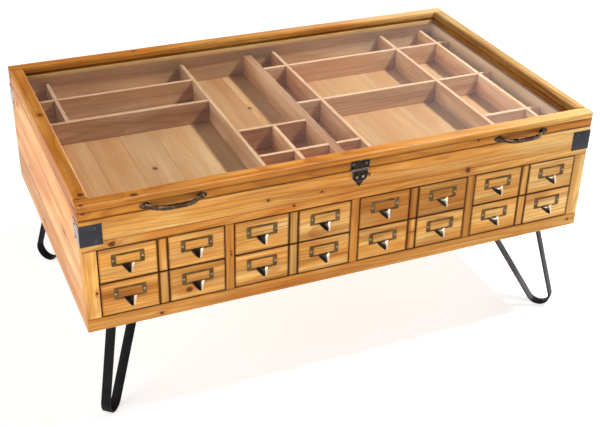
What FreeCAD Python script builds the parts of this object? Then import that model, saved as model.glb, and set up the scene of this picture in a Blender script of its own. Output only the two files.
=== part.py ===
import FreeCAD, Part
import math
import os

# Collectors' display table: a low pine cabinet with eight drawers under a
# glazed, hinged display well, on four flat-bar hairpin legs.
# Frame: +Z up, origin on the floor under the centre of the bounding box,
# drawers face -Y, +X to the right when facing the drawers. Millimetres.

os.makedirs("parts", exist_ok=True)
V = FreeCAD.Vector

# ---------------------------------------------------------------- dimensions
LENGTH = 1000.0          # cabinet and lid, along X
DEPTH = 606.0            # cabinet and lid, along Y
LEG_H = 205.0            # floor to underside of the cabinet
CASE_H = 221.0           # cabinet, underside to rim
LID_GAP = 1.0            # shadow gap between rim and lid
LID_LOWER = 15.5         # lower layer of the lid frame
LID_UPPER = 13.0         # upper layer of the lid frame
LID_RAIL = 26.0          # width of the lid rails
BOARD = 16.0             # case boards
ROUND = 1.0              # eased edges of the boards

STILE_W = 25.5           # end stiles of the front
POST_W = 16.0            # posts between the four bays
RAIL_BOTTOM = 26.0       # bottom rail of the front
OPEN_TOP = 162.2         # top of the drawer openings above the case underside
RAIL_TOP = 16.0          # thin rail over the drawers
BAY_W = (LENGTH - 2 * STILE_W - 3 * POST_W) / 4.0

BOTTOM_T = 12.0          # bottom panel
FLOOR_TOP = 161.0        # display well floor, above the case underside
FLOOR_T = 6.0
DIVIDER_TOP = 207.5      # top of the dividers above the case underside
DIV_T = 8.0              # thin dividers
MAIN_T = 16.0            # thick divider
LINER_T = STILE_W - BOARD

FRONT_T = 16.0           # drawer fronts
FRONT_GAP = 1.5          # reveal at the sides of a drawer front
FRONT_H = 65.6
FRONT_LOW_Z = 27.5       # underside of the lower fronts
FRONT_HIGH_Z = 95.1      # underside of the upper fronts
GROOVE_OFF = 8.7         # routed grooves either side of a front's middle
GROOVE_W = 2.6
GROOVE_D = 3.0
DRAWER_H = 52.0          # height of the drawer sides
DRAWER_L = 572.0         # length of the drawer sides; the back panel is the stop
DRAWER_WALL = 9.0
DRAWER_BASE_T = 4.0

PULL_W = 58.0            # label frame
PULL_H = 24.0
PULL_T = 1.4
PULL_Z = 40.9            # centre of the label frame above the front's underside
PULL_X = 60.6            # label frames either side of a front's middle
WINDOW_W = 44.0
WINDOW_H = 17.6

GLASS_T = 4.0
GLASS_LAP = 5.5          # glass under the upper rails
REBATE = 6.0

BAR_W = 18.0             # hairpin flat bar
BAR_T = 4.0
FOOT_X = 464.4           # middle of the hairpin bend
FOOT_Y = 272.2
LEG_ANGLE = 50.9         # plane of the hairpin, degrees from X
LEG_OUT = -31.6          # top of the outer run, along the plane from the bend
LEG_IN = -164.9          # top of the inner run
LEG_R = 24.1             # bend radius at the middle of the bar
FOOT_FLAT = 0.5          # worn flat under the bend
PLATE_T = 3.0            # mounting plate
PLATE_W = 54.0
PLATE_SCREW_R = 2.6

HINGE_X = 330.0          # middle of each lid hinge
HINGE_LEAF = 62.0
HINGE_R = 3.2
PIN_R = 1.6

HANDLE_X = 339.0         # middle of each bow handle
HANDLE_Z = 230.0         # above the case underside
HANDLE_HALF = 48.0       # screw to middle
HANDLE_OUT = 19.0        # standoff of the bow

HASP_X = 4.0             # middle of the hasp

Z0 = LEG_H
RIM = Z0 + CASE_H
LID0 = RIM + LID_GAP
LID1 = LID0 + LID_LOWER
LID2 = LID1 + LID_UPPER
HX = LENGTH / 2.0
HY = DEPTH / 2.0
IN_Y = HY - BOARD        # inner faces of front and back
IN_X = HX - STILE_W      # inner faces of the liners
SIDE_X = HX - BOARD      # inner faces of the side panels
LID_IX = HX - LID_RAIL
LID_IY = HY - LID_RAIL

nodes = {}


def box(x0, x1, y0, y1, z0, z1):
    return Part.makeBox(x1 - x0, y1 - y0, z1 - z0, V(x0, y0, z0))


def board(x0, x1, y0, y1, z0, z1, r=ROUND):
    b = box(x0, x1, y0, y1, z0, z1)
    return b.makeFillet(r, b.Edges)


def prism(points, direction):
    """Closed polygon of 3D points pushed along a vector."""
    wire = Part.makePolygon(points + [points[0]])
    return Part.Face(wire).extrude(direction)


def group(name, solids):
    flat = []
    for s in solids:
        flat.extend(s.Solids)
    nodes[name] = flat[0] if len(flat) == 1 else Part.makeCompound(flat)


def bay_x(i):
    """Left edge of bay i, 0 to 3."""
    return -HX + STILE_W + i * (BAY_W + POST_W)


# ----------------------------------------------------------------- the case
group("side_panel_left", [board(-HX, -SIDE_X, -IN_Y, HY, Z0, RIM)])
group("side_panel_right", [board(SIDE_X, HX, -IN_Y, HY, Z0, RIM)])
group("back_panel", [board(-SIDE_X, SIDE_X, IN_Y, HY, Z0, RIM)])
group("bottom_panel", [board(-SIDE_X, SIDE_X, -IN_Y, IN_Y, Z0, Z0 + BOTTOM_T)])

group("front_bottom_rail", [board(-HX, HX, -HY, -IN_Y, Z0, Z0 + RAIL_BOTTOM)])
group("front_drawer_rail",
      [board(-HX, HX, -HY, -IN_Y, Z0 + OPEN_TOP, Z0 + OPEN_TOP + RAIL_TOP)])
group("front_apron",
      [board(-HX, HX, -HY, -IN_Y, Z0 + OPEN_TOP + RAIL_TOP, RIM)])
group("front_stiles",
      [board(-HX, -IN_X, -HY, -IN_Y, Z0 + RAIL_BOTTOM, Z0 + OPEN_TOP),
       board(IN_X, HX, -HY, -IN_Y, Z0 + RAIL_BOTTOM, Z0 + OPEN_TOP)])
posts = []
partitions = []
for i in range(3):
    px = bay_x(i) + BAY_W
    posts.append(board(px, px + POST_W, -HY, -IN_Y,
                       Z0 + RAIL_BOTTOM, Z0 + OPEN_TOP))
    partitions.append(box(px, px + POST_W, -IN_Y, IN_Y,
                          Z0 + BOTTOM_T, Z0 + FLOOR_TOP - FLOOR_T))
group("front_posts", posts)
group("drawer_partitions", partitions)

# liners beside the outer drawers, carried up to the rim
group("side_liners",
      [board(-SIDE_X, -IN_X, -IN_Y, IN_Y, Z0 + BOTTOM_T, RIM, 0.6),
       board(IN_X, SIDE_X, -IN_Y, IN_Y, Z0 + BOTTOM_T, RIM, 0.6)])

# wooden runners under the drawer sides
runners = []
RUN_W = 12.0
for i in range(4):
    bx = bay_x(i)
    for (z0, z1) in ((Z0 + BOTTOM_T, Z0 + FRONT_LOW_Z - 0.3),
                     (Z0 + FRONT_HIGH_Z - 10.3, Z0 + FRONT_HIGH_Z - 0.3)):
        runners.append(box(bx, bx + RUN_W, -IN_Y + 0.5, IN_Y, z0, z1))
        runners.append(box(bx + BAY_W - RUN_W, bx + BAY_W, -IN_Y + 0.5, IN_Y,
                           z0, z1))
group("drawer_runners", runners)

# ------------------------------------------------------- display well
group("well_floor",
      [box(-IN_X, IN_X, -IN_Y, IN_Y, Z0 + FLOOR_TOP - FLOOR_T, Z0 + FLOOR_TOP)])

DZ0 = Z0 + FLOOR_TOP
DZ1 = Z0 + DIVIDER_TOP
DZM = (DZ0 + DZ1) / 2.0
# lengthwise positions (x of dividers that run front to back)
X1, X2, X7, X3, X4, X5, X6 = -428.0, -138.5, -62.0, 13.0, 74.0, 342.0, 445.0
# crosswise positions (y of dividers that run left to right)
YA, YB, YE, YD = 200.0, 93.0, -58.0, -168.0
YHA, YHB, YHC = 203.0, 19.0, -166.0
H8 = DIV_T / 2.0
HM = MAIN_T / 2.0
FIT = 0.1


def divider_y(x, y0, y1, half, crossings):
    """Divider running front to back; cross-lap slots open upwards."""
    b = box(x - half, x + half, y0, y1, DZ0, DZ1)
    b = b.makeFillet(0.8, [e for e in b.Edges
                           if abs(e.Vertexes[0].Z - DZ1) < 0.01
                           and abs(e.Vertexes[-1].Z - DZ1) < 0.01
                           and abs(e.Vertexes[0].X - e.Vertexes[-1].X) < 0.01])
    for y in crossings:
        b = b.cut(box(x - half - 1, x + half + 1, y - H8 - FIT, y + H8 + FIT,
                      DZM, DZ1 + 1))
    return b


def divider_x(y, x0, x1, crossings):
    """Divider running left to right; cross-lap slots open downwards."""
    b = box(x0, x1, y - H8, y + H8, DZ0, DZ1)
    b = b.makeFillet(0.8, [e for e in b.Edges
                           if abs(e.Vertexes[0].Z - DZ1) < 0.01
                           and abs(e.Vertexes[-1].Z - DZ1) < 0.01
                           and abs(e.Vertexes[0].Y - e.Vertexes[-1].Y) < 0.01])
    for x in crossings:
        b = b.cut(box(x - H8 - FIT, x + H8 + FIT, y - H8 - 1, y + H8 + 1,
                      DZ0 - 1, DZM + FIT))
    return b


group("well_divider_main", [divider_y(X3, -IN_Y, IN_Y, HM, [])])
group("well_dividers_long", [
    divider_y(X1, YB + H8, IN_Y, H8, [YA]),
    divider_y(X2, -IN_Y, IN_Y, H8, []),
    divider_y(X7, -IN_Y, YE - H8, H8, [YD]),
    divider_y(X4, -IN_Y, IN_Y, H8, [YHA, YHB]),
    divider_y(X5, -IN_Y, IN_Y, H8, [YHA, YHB]),
    divider_y(X6, -IN_Y, IN_Y, H8, [YHA, YHB, YHC]),
])
group("well_dividers_cross", [
    divider_x(YA, -IN_X, X2 - H8, [X1]),
    divider_x(YB, -IN_X, X2 - H8, []),
    divider_x(YE, X2 + H8, X3 - HM, []),
    divider_x(YD, X2 + H8, X3 - HM, [X7]),
    divider_x(YD, X3 + HM, X4 - H8, []),
    divider_x(YHA, X3 + HM, IN_X, [X4, X5, X6]),
    divider_x(YHB, X3 + HM, IN_X, [X4, X5, X6]),
    divider_x(YHC, X5 + H8, IN_X, [X6]),
])

def dome(radius, height):
    """Shallow round nail head standing on z = 0."""
    ball = (radius * radius + height * height) / (2.0 * height)
    s = Part.makeSphere(ball, V(0, 0, height - ball))
    return s.common(Part.makeBox(20, 20, height + 1, V(-10, -10, 0)))


def dome_front(radius, height, x, y, z):
    """Nail head on a face that looks towards -Y."""
    d = dome(radius, height)
    d.rotate(V(0, 0, 0), V(1, 0, 0), 90)
    d.translate(V(x, y, z))
    return d


def dome_back(radius, height, x, y, z):
    """Nail head on a face that looks towards +Y."""
    d = dome(radius, height)
    d.rotate(V(0, 0, 0), V(1, 0, 0), -90)
    d.translate(V(x, y, z))
    return d


# ----------------------------------------------------- corner brackets
BR_W = 38.0
BR_T = 1.2
BR_Z0, BR_Z1 = Z0 + 173.0, Z0 + 213.0
NAIL_IN = 26.0
brackets = []
nails = []
for sx in (-1, 1):
    for sy in (-1, 1):
        ox, oy = sx * HX, sy * HY
        a = box(min(ox, ox - sx * BR_W), max(ox, ox - sx * BR_W),
                min(oy, oy + sy * BR_T), max(oy, oy + sy * BR_T), BR_Z0, BR_Z1)
        b = box(min(ox, ox + sx * BR_T), max(ox, ox + sx * BR_T),
                min(oy + sy * BR_T, oy - sy * BR_W),
                max(oy + sy * BR_T, oy - sy * BR_W), BR_Z0, BR_Z1)
        brackets.append(a.fuse(b).removeSplitter())
        for z in (-12.5, 12.5):
            zc = (BR_Z0 + BR_Z1) / 2.0 + z
            d1 = dome(2.3, 1.3)
            h1 = d1.copy()
            h1.rotate(V(0, 0, 0), V(1, 0, 0), 90 if sy < 0 else -90)
            h1.translate(V(ox - sx * NAIL_IN, oy + sy * BR_T, zc))
            h2 = d1.copy()
            h2.rotate(V(0, 0, 0), V(0, 1, 0), 90 if sx > 0 else -90)
            h2.translate(V(ox + sx * BR_T, oy - sy * NAIL_IN, zc))
            nails.extend([h1, h2])
group("corner_brackets", brackets)
group("bracket_nails", nails)


# ------------------------------------------------------------- hairpin legs
def tangent_angle(px, pz, cz, r, side):
    dx, dz = px, pz - cz
    d = math.hypot(dx, dz)
    a = math.atan2(dz, dx)
    b = math.acos(r / d)
    return a - b if side > 0 else a + b


def hairpin(sx, sy):
    """Flat bar bent to a V in a vertical plane, with its mounting plate."""
    cz = LEG_R + BAR_T / 2.0 - FOOT_FLAT
    top = LEG_H - PLATE_T
    half = BAR_T / 2.0
    solids = []
    ts = tangent_angle(LEG_OUT, top, cz, LEG_R, +1)
    te = tangent_angle(LEG_IN, top, cz, LEG_R, -1) - 2 * math.pi

    def run(r):
        # outer edge of the profile at radius r
        p0 = (r * math.cos(ts), cz + r * math.sin(ts))
        p1 = (r * math.cos(te), cz + r * math.sin(te))
        tm = (ts + te) / 2.0
        pm = (r * math.cos(tm), cz + r * math.sin(tm))
        # straight runs follow the tangents up to the plate
        d0 = (-math.sin(ts), math.cos(ts))
        d1 = (-math.sin(te), math.cos(te))
        if d0[1] < 0:
            d0 = (-d0[0], -d0[1])
        if d1[1] < 0:
            d1 = (-d1[0], -d1[1])
        k0 = (top - p0[1]) / d0[1]
        k1 = (top - p1[1]) / d1[1]
        q0 = (p0[0] + d0[0] * k0, top)
        q1 = (p1[0] + d1[0] * k1, top)
        return q0, p0, pm, p1, q1

    o = run(LEG_R + half)
    n = run(LEG_R - half)

    def pt(p):
        return V(p[0], -BAR_W / 2.0, p[1])

    edges = [
        Part.LineSegment(pt(o[0]), pt(o[1])).toShape(),
        Part.Arc(pt(o[1]), pt(o[2]), pt(o[3])).toShape(),
        Part.LineSegment(pt(o[3]), pt(o[4])).toShape(),
        Part.LineSegment(pt(o[4]), pt(n[4])).toShape(),
        Part.LineSegment(pt(n[4]), pt(n[3])).toShape(),
        Part.Arc(pt(n[3]), pt(n[2]), pt(n[1])).toShape(),
        Part.LineSegment(pt(n[1]), pt(n[0])).toShape(),
        Part.LineSegment(pt(n[0]), pt(o[0])).toShape(),
    ]
    bar = Part.Face(Part.Wire(edges)).extrude(V(0, BAR_W, 0))
    bar = bar.makeFillet(0.6, [e for e in bar.Edges
                               if abs(e.Vertexes[0].Z - e.Vertexes[-1].Z) > 0.5
                               and e.Vertexes[0].Z > 1.0
                               and e.Curve.TypeId == "Part::GeomLine"
                               and abs(e.Vertexes[0].Y - e.Vertexes[-1].Y) < 0.01])
    bar = bar.common(Part.makeBox(600, 60, 400, V(-400, -30, 0)))
    s0, s1 = LEG_IN - 16.0, LEG_OUT + 14.0
    plate = Part.makeBox(s1 - s0, PLATE_W, PLATE_T,
                         V(s0, -PLATE_W / 2.0, LEG_H - PLATE_T))
    plate = plate.makeFillet(6.0, [e for e in plate.Edges
                                   if abs(e.Vertexes[0].Z - e.Vertexes[-1].Z) > 1])
    holes = []
    for s in (s0 + 10.0, s1 - 10.0):
        for w in (-PLATE_W / 2.0 + 10.0, PLATE_W / 2.0 - 10.0):
            holes.append((s, w))
    for (s, w) in holes:
        plate = plate.cut(Part.makeCylinder(PLATE_SCREW_R, 10.0,
                                            V(s, w, LEG_H - 6.0)))
    ang = math.degrees(math.atan2(sy * math.sin(math.radians(LEG_ANGLE)),
                                  sx * math.cos(math.radians(LEG_ANGLE))))
    out = []
    for shape in (bar, plate):
        shape = shape.copy()
        shape.rotate(V(0, 0, 0), V(0, 0, 1), ang)
        shape.translate(V(sx * FOOT_X, sy * FOOT_Y, 0))
        out.append(shape)
    a = math.radians(ang)
    world = [(sx * FOOT_X + s * math.cos(a) - w * math.sin(a),
              sy * FOOT_Y + s * math.sin(a) + w * math.cos(a))
             for (s, w) in holes]
    return out, world


leg_names = {(-1, -1): "leg_front_left", (1, -1): "leg_front_right",
             (-1, 1): "leg_rear_left", (1, 1): "leg_rear_right"}
leg_screws = []
for (sx, sy), nm in leg_names.items():
    shapes, holes = hairpin(sx, sy)
    group(nm, shapes)
    for (x, y) in holes:
        head = Part.makeCylinder(4.6, 1.6, V(x, y, LEG_H - PLATE_T - 1.6))
        head = head.makeFillet(0.7, [e for e in head.Edges
                                     if abs(e.BoundBox.ZMin - (LEG_H - PLATE_T - 1.6)) < 0.01
                                     and abs(e.BoundBox.ZMax - e.BoundBox.ZMin) < 0.01])
        shank = Part.makeCylinder(2.2, PLATE_T, V(x, y, LEG_H - PLATE_T))
        leg_screws.append(head.fuse(shank).removeSplitter())
group("leg_screws", leg_screws)


# ------------------------------------------------------------------ drawers
def drawer_front(xc, z0):
    w = BAY_W / 2.0 - FRONT_GAP
    b = board(xc - w, xc + w, -HY, -HY + FRONT_T, z0, z0 + FRONT_H, 0.9)
    for s in (-1, 1):
        gx = xc + s * GROOVE_OFF
        b = b.cut(box(gx - GROOVE_W / 2, gx + GROOVE_W / 2,
                      -HY - 1, -HY + GROOVE_D, z0 - 1, z0 + FRONT_H + 1))
    return b


def drawer_box(xc, z0):
    w = BAY_W / 2.0 - 2.0
    y0, y1 = -HY + FRONT_T, -HY + FRONT_T + DRAWER_L
    t = DRAWER_WALL
    zb = z0 + 6.0
    groove = 3.0
    left = box(xc - w, xc - w + t, y0, y1, z0, z0 + DRAWER_H)
    right = box(xc + w - t, xc + w, y0, y1, z0, z0 + DRAWER_H)
    back = box(xc - w + t, xc + w - t, y1 - t, y1, z0, z0 + DRAWER_H - 6.0)
    base = box(xc - w + t - groove, xc + w - t + groove, y0, y1 - t + groove,
               zb, zb + DRAWER_BASE_T)
    left = left.cut(base)
    right = right.cut(base)
    back = back.cut(base)
    return [left, right, back, base]


def beak(xc, zt):
    """Curved finger pull: a tongue that sweeps out to a rounded tip."""
    def section(z, a, d, n=16):
        pts = []
        for i in range(n + 1):
            u = math.pi * i / n
            c = math.cos(u)
            pts.append(V(xc - math.copysign(a * abs(c) ** 0.85, c),
                         -HY - d * max(math.sin(u), 0.0) ** 0.85, z))
        crv = Part.BSplineCurve()
        crv.interpolate(pts)
        return Part.Wire([crv.toShape(), Part.makeLine(pts[-1], pts[0])])
    top, mid, bot = zt, zt - 4.0, zt - 10.4
    outer = Part.makeLoft([section(top, 12.0, 3.4), section(mid, 10.2, 11.0),
                           section(bot, 4.4, 17.4)], True, True)
    inner = Part.makeLoft([section(top + 0.01, 10.8, 2.2), section(mid, 9.0, 9.6),
                           section(bot - 0.01, 3.2, 15.9)], True, True)
    return outer.cut(inner)


def pull(xc, z0):
    zc = z0 + PULL_Z
    y1 = -HY
    y0 = -HY - PULL_T
    fr = box(xc - PULL_W / 2, xc + PULL_W / 2, y0, y1,
             zc - PULL_H / 2, zc + PULL_H / 2)
    fr = fr.makeFillet(2.0, [e for e in fr.Edges
                             if abs(e.Vertexes[0].Y - e.Vertexes[-1].Y) > 1])
    fr = fr.cut(box(xc - WINDOW_W / 2, xc + WINDOW_W / 2, y0 - 1, y1 + 1,
                    zc - WINDOW_H / 2, zc + WINDOW_H / 2))
    bk = beak(xc, zc - PULL_H / 2 + 3.2)
    body = fr.fuse(bk)
    pins = []
    for s in (-1, 1):
        c = Part.makeCylinder(2.3, 1.2, V(xc + s * 25.5, y0 - 1.2, zc),
                              V(0, 1, 0))
        c = c.makeFillet(0.6, [e for e in c.Edges
                               if abs(e.BoundBox.YMax - (y0 - 1.2)) < 0.01])
        pins.append(c)
    return [body] + pins


n = 0
for i in range(4):
    for z0, lvl in ((Z0 + FRONT_HIGH_Z, "upper"), (Z0 + FRONT_LOW_Z, "lower")):
        n += 1
        xc = bay_x(i) + BAY_W / 2.0
        tag = "%s_%d" % (lvl, i + 1)
        group("drawer_front_" + tag, [drawer_front(xc, z0)])
        group("drawer_box_" + tag, drawer_box(xc, z0))
        group("drawer_pulls_" + tag, pull(xc - PULL_X, z0) + pull(xc + PULL_X, z0))

# --------------------------------------------------------------------- lid
LR = 1.6


def rail(x0, x1, y0, y1, z0, z1, r=LR):
    return board(x0, x1, y0, y1, z0, z1, r)


gl = box(-LID_IX - REBATE, LID_IX + REBATE, -LID_IY - REBATE, LID_IY + REBATE,
         LID1 - GLASS_T - 0.2, LID1 + 5)
lower = [
    rail(-HX, HX, -HY, -LID_IY, LID0, LID1, ROUND).cut(gl),
    rail(-HX, HX, LID_IY, HY, LID0, LID1, ROUND).cut(gl),
    rail(-HX, -LID_IX, -LID_IY, LID_IY, LID0, LID1, ROUND).cut(gl),
    rail(LID_IX, HX, -LID_IY, LID_IY, LID0, LID1, ROUND).cut(gl),
]
upper = [
    rail(-HX, HX, -HY, -LID_IY, LID1, LID2),
    rail(-HX, HX, LID_IY, HY, LID1, LID2),
    rail(-HX, -LID_IX, -LID_IY, LID_IY, LID1, LID2),
    rail(LID_IX, HX, -LID_IY, LID_IY, LID1, LID2),
]
group("lid_lower_frame", lower)
group("lid_upper_frame", upper)
group("lid_glass", [box(-LID_IX - GLASS_LAP, LID_IX + GLASS_LAP,
                        -LID_IY - GLASS_LAP, LID_IY + GLASS_LAP,
                        LID1 - GLASS_T - 0.1, LID1 - 0.1)])


def bow_handle(xc):
    """Flat bow on two leaf-shaped feet, standing off the lid's front."""
    zc = Z0 + HANDLE_Z
    yf = -HY
    n = 24
    outer, inner = [], []
    # bow in plan: feet against the wood, middle HANDLE_OUT away
    for i in range(n + 1):
        t = -1.0 + 2.0 * i / n
        x = xc + t * HANDLE_HALF
        s = 1.0 - t * t
        y = yf - 1.2 - HANDLE_OUT * (1.0 - (1.0 - s) ** 1.6)
        outer.append((x, y))
    pts_o, pts_i = [], []
    for i, (x, y) in enumerate(outer):
        a = outer[max(i - 1, 0)]
        b = outer[min(i + 1, n)]
        dx, dy = b[0] - a[0], b[1] - a[1]
        d = math.hypot(dx, dy)
        nx, ny = dy / d, -dx / d
        h = 1.0 + 1.0 * (1.0 - abs(-1.0 + 2.0 * i / n) ** 2)
        pts_o.append(V(x + nx * h, y + ny * h, zc - 5.2))
        pts_i.append(V(x - nx * h, y - ny * h, zc - 5.2))
    co, ci = Part.BSplineCurve(), Part.BSplineCurve()
    co.interpolate(pts_o)
    ci.interpolate(pts_i)
    w = Part.Wire([co.toShape(), Part.makeLine(pts_o[-1], pts_i[-1]),
                   ci.toShape(), Part.makeLine(pts_i[0], pts_o[0])])
    face = Part.Face(Part.Wire(Part.__sortEdges__(w.Edges)))
    bow = face.extrude(V(0, 0, 10.4))
    bow = bow.common(box(xc - 80, xc + 80, yf - 60, yf - 0.2, zc - 10, zc + 10))
    feet = []
    for s in (-1, 1):
        c = xc + s * HANDLE_HALF
        pts = []
        for k in range(24):
            u = 2 * math.pi * k / 24
            px = c + s * 1.5 + 9.0 * math.cos(u)
            pz = zc + 6.2 * math.sin(u) * (1.0 - 0.25 * math.cos(u) * s)
            pts.append(V(px, yf, pz))
        feet.append(prism(pts, V(0, -2.0, 0)))
    out = bow
    for f in feet:
        out = out.fuse(f)
    screws = []
    for s in (-1, 1):
        c = xc + s * (HANDLE_HALF + 4.0)
        h = Part.makeCylinder(2.6, 1.1, V(c, yf - 3.1, zc), V(0, 1, 0))
        screws.append(h)
    out = out.cut(box(xc - 80, xc + 80, yf, yf + 5, zc - 20, zc + 20))
    for h in screws:
        out = out.cut(h)
    return out.removeSplitter(), screws


hl, s1 = bow_handle(-HANDLE_X)
hr, s2 = bow_handle(HANDLE_X)
group("lid_handle_left", [hl])
group("lid_handle_right", [hr])
lid_screws = s1 + s2

# ------------------------------------------------------------------ hinges
# two butt hinges on the back; the pin lies just behind the shadow gap
PIN_Y = HY + HINGE_R + 0.4
PIN_Z = RIM + LID_GAP / 2.0
LEAF_T = 1.4
KN = 5
body_leaves, lid_leaves, pins, case_screws = [], [], [], []
for s in (-1, 1):
    xc = s * HINGE_X
    x0 = xc - HINGE_LEAF / 2.0
    step = HINGE_LEAF / KN
    bl = box(x0, x0 + HINGE_LEAF, HY, HY + LEAF_T, PIN_Z - 26.0, PIN_Z - 4.2)
    ll = box(x0, x0 + HINGE_LEAF, HY, HY + LEAF_T, PIN_Z + 4.2, PIN_Z + 24.0)
    for k in range(KN):
        a = x0 + k * step + 0.15
        b = x0 + (k + 1) * step - 0.15
        tube = Part.makeCylinder(HINGE_R, b - a, V(a, PIN_Y, PIN_Z), V(1, 0, 0))
        r = PIN_R if k % 2 == 0 else PIN_R + 0.08
        bore = Part.makeCylinder(r, b - a + 2,
                                 V(a - 1, PIN_Y, PIN_Z), V(1, 0, 0))
        if k % 2 == 0:
            web = box(a, b, HY, HY + LEAF_T, PIN_Z - 5.0, PIN_Z - 1.0)
            bl = bl.fuse(web).fuse(tube).cut(bore)
        else:
            web = box(a, b, HY, HY + LEAF_T, PIN_Z + 1.0, PIN_Z + 5.0)
            ll = ll.fuse(web).fuse(tube).cut(bore)
    body_leaves.append(bl.removeSplitter())
    lid_leaves.append(ll.removeSplitter())
    pins.append(Part.makeCylinder(PIN_R, HINGE_LEAF + 1.0,
                                  V(x0 - 0.5, PIN_Y, PIN_Z), V(1, 0, 0)))
    for dx, dz in ((-22.0, 0.0), (0.0, -5.0), (22.0, 0.0)):
        case_screws.append(dome_back(2.8, 1.2, xc + dx, HY + LEAF_T,
                                     PIN_Z - 15.0 + dz))
        lid_screws.append(dome_back(2.8, 1.2, xc + dx, HY + LEAF_T,
                                    PIN_Z + 14.5 - dz * 0.6))
group("hinge_case_leaves", body_leaves)
group("hinge_lid_leaves", lid_leaves)
group("hinge_pins", pins)
group("hinge_case_screws", case_screws)

# -------------------------------------------------------------------- hasp
# plate with knuckles and pin on the lid, hanging tongue with a thumb knob,
# pointed strike plate on the apron
HY0 = -HY
KY = HY0 - 2.7                      # knuckle axis
HPZ = Z0 + 223.0
KN_R = 2.3
HP_R = 1.1
pl = box(HASP_X - 19.0, HASP_X + 19.0, HY0 - 1.3, HY0, HPZ + 2.9, Z0 + 240.0)
pl = pl.makeFillet(2.5, [e for e in pl.Edges
                         if abs(e.Vertexes[0].Y - e.Vertexes[-1].Y) > 1
                         and e.Vertexes[0].Z > HPZ + 10])
for a, b in ((-19.0, -11.0), (11.0, 19.0)):
    kn = Part.makeCylinder(KN_R, b - a, V(HASP_X + a, KY, HPZ), V(1, 0, 0))
    web = box(HASP_X + a, HASP_X + b, HY0 - 1.3, HY0, HPZ, HPZ + 4.0)
    bore = Part.makeCylinder(HP_R, b - a + 2, V(HASP_X + a - 1, KY, HPZ),
                             V(1, 0, 0))
    pl = pl.fuse(web).fuse(kn).cut(bore)
for dx in (-13.0, 13.0):
    lid_screws.append(dome_front(2.4, 1.4, HASP_X + dx, HY0 - 1.3, Z0 + 233.0))
group("hasp_lid_plate", [pl.removeSplitter(),
                         Part.makeCylinder(HP_R, 38.6, V(HASP_X - 19.3, KY, HPZ),
                                           V(1, 0, 0))])
group("lid_screws", lid_screws)

TG = [(-10.7, 223.0), (-10.7, 219.8), (-15.0, 219.8), (-15.5, 214.0),
      (-15.0, 208.0), (-12.6, 203.0), (-9.0, 200.2), (-5.0, 198.9),
      (0.0, 198.5), (5.0, 198.9), (9.0, 200.2), (12.6, 203.0), (15.0, 208.0),
      (15.5, 214.0), (15.0, 219.8), (10.7, 219.8), (10.7, 223.0)]
tg = prism([V(HASP_X + x, KY + 0.8, Z0 + z) for (x, z) in TG], V(0, -1.6, 0))
kn = Part.makeCylinder(KN_R, 21.4, V(HASP_X - 10.7, KY, HPZ), V(1, 0, 0))
tg = tg.fuse(kn).cut(Part.makeCylinder(HP_R + 0.08, 30.0,
                                       V(HASP_X - 15, KY, HPZ), V(1, 0, 0)))
for dx in (-6.0, 6.0):
    tg = tg.fuse(dome_front(2.7, 1.9, HASP_X + dx, KY - 0.8, Z0 + 208.0))
stem = Part.makeCylinder(1.3, 4.2, V(HASP_X + 13.6, KY, Z0 + 209.2), V(1, 0, 0))
knob = Part.makeSphere(2.5, V(HASP_X + 18.2, KY - 1.0, Z0 + 209.2))
tg = tg.fuse(stem).fuse(knob)
group("hasp_tongue", [tg.removeSplitter()])

SH = [(-12.0, 218.0), (12.0, 218.0), (12.0, 205.0), (8.5, 199.0), (5.0, 193.5),
      (1.6, 188.2), (0.0, 187.0), (-1.6, 188.2), (-5.0, 193.5), (-8.5, 199.0),
      (-12.0, 205.0)]
group("hasp_strike", [prism([V(HASP_X + x, HY0, Z0 + z) for (x, z) in SH],
                            V(0, -1.3, 0))])

# ------------------------------------------------------------------- export
# the origin is under the middle of everything, so the bow handles in front
# and the hinge knuckles behind share the overhang
front_reach = HY + 1.2 + HANDLE_OUT + 2.0
back_reach = PIN_Y + HINGE_R
SHIFT_Y = (front_reach - back_reach) / 2.0

total = 0
for name, shape in nodes.items():
    shape.translate(V(0, SHIFT_Y, 0))
    ok = shape.isValid() and all(s.isValid() and s.Volume > 0 for s in shape.Solids)
    total += len(shape.Solids)
    bb = shape.BoundBox
    print("%-24s solids %2d vol %10.1f valid %s  [%.1f %.1f %.1f] [%.1f %.1f %.1f]" % (
        name, len(shape.Solids), shape.Volume, ok,
        bb.XMin, bb.YMin, bb.ZMin, bb.XMax, bb.YMax, bb.ZMax))
    shape.exportStep(os.path.join("parts", name + ".step"))
print("nodes", len(nodes), "solids", total, "shift", SHIFT_Y)
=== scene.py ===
import math
import random

import bpy
import numpy as np
from mathutils import Matrix, Vector

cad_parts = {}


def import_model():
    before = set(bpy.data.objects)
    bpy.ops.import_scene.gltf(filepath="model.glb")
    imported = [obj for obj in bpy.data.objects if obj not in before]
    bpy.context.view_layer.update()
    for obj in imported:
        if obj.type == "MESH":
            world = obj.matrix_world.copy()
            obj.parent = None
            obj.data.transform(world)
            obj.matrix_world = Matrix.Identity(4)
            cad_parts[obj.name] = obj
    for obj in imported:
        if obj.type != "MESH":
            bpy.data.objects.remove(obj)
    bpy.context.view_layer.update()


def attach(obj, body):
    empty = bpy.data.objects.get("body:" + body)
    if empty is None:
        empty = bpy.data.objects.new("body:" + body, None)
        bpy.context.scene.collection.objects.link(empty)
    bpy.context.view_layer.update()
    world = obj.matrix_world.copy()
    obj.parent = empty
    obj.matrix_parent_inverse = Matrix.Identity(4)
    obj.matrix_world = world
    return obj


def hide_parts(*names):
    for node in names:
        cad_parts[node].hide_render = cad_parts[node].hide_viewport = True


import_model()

# ------------------------------------------------------------------ sizes, mm
# the same numbers as the CAD, before its shift along Y
SHIFT = 7.7
HX, HY = 500.0, 303.0
Z0 = 205.0
RIM = 426.0
LID0, LID1, LID2 = 427.0, 442.5, 455.5
IN_X, IN_Y, SIDE_X = 474.5, 287.0, 484.0
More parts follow.
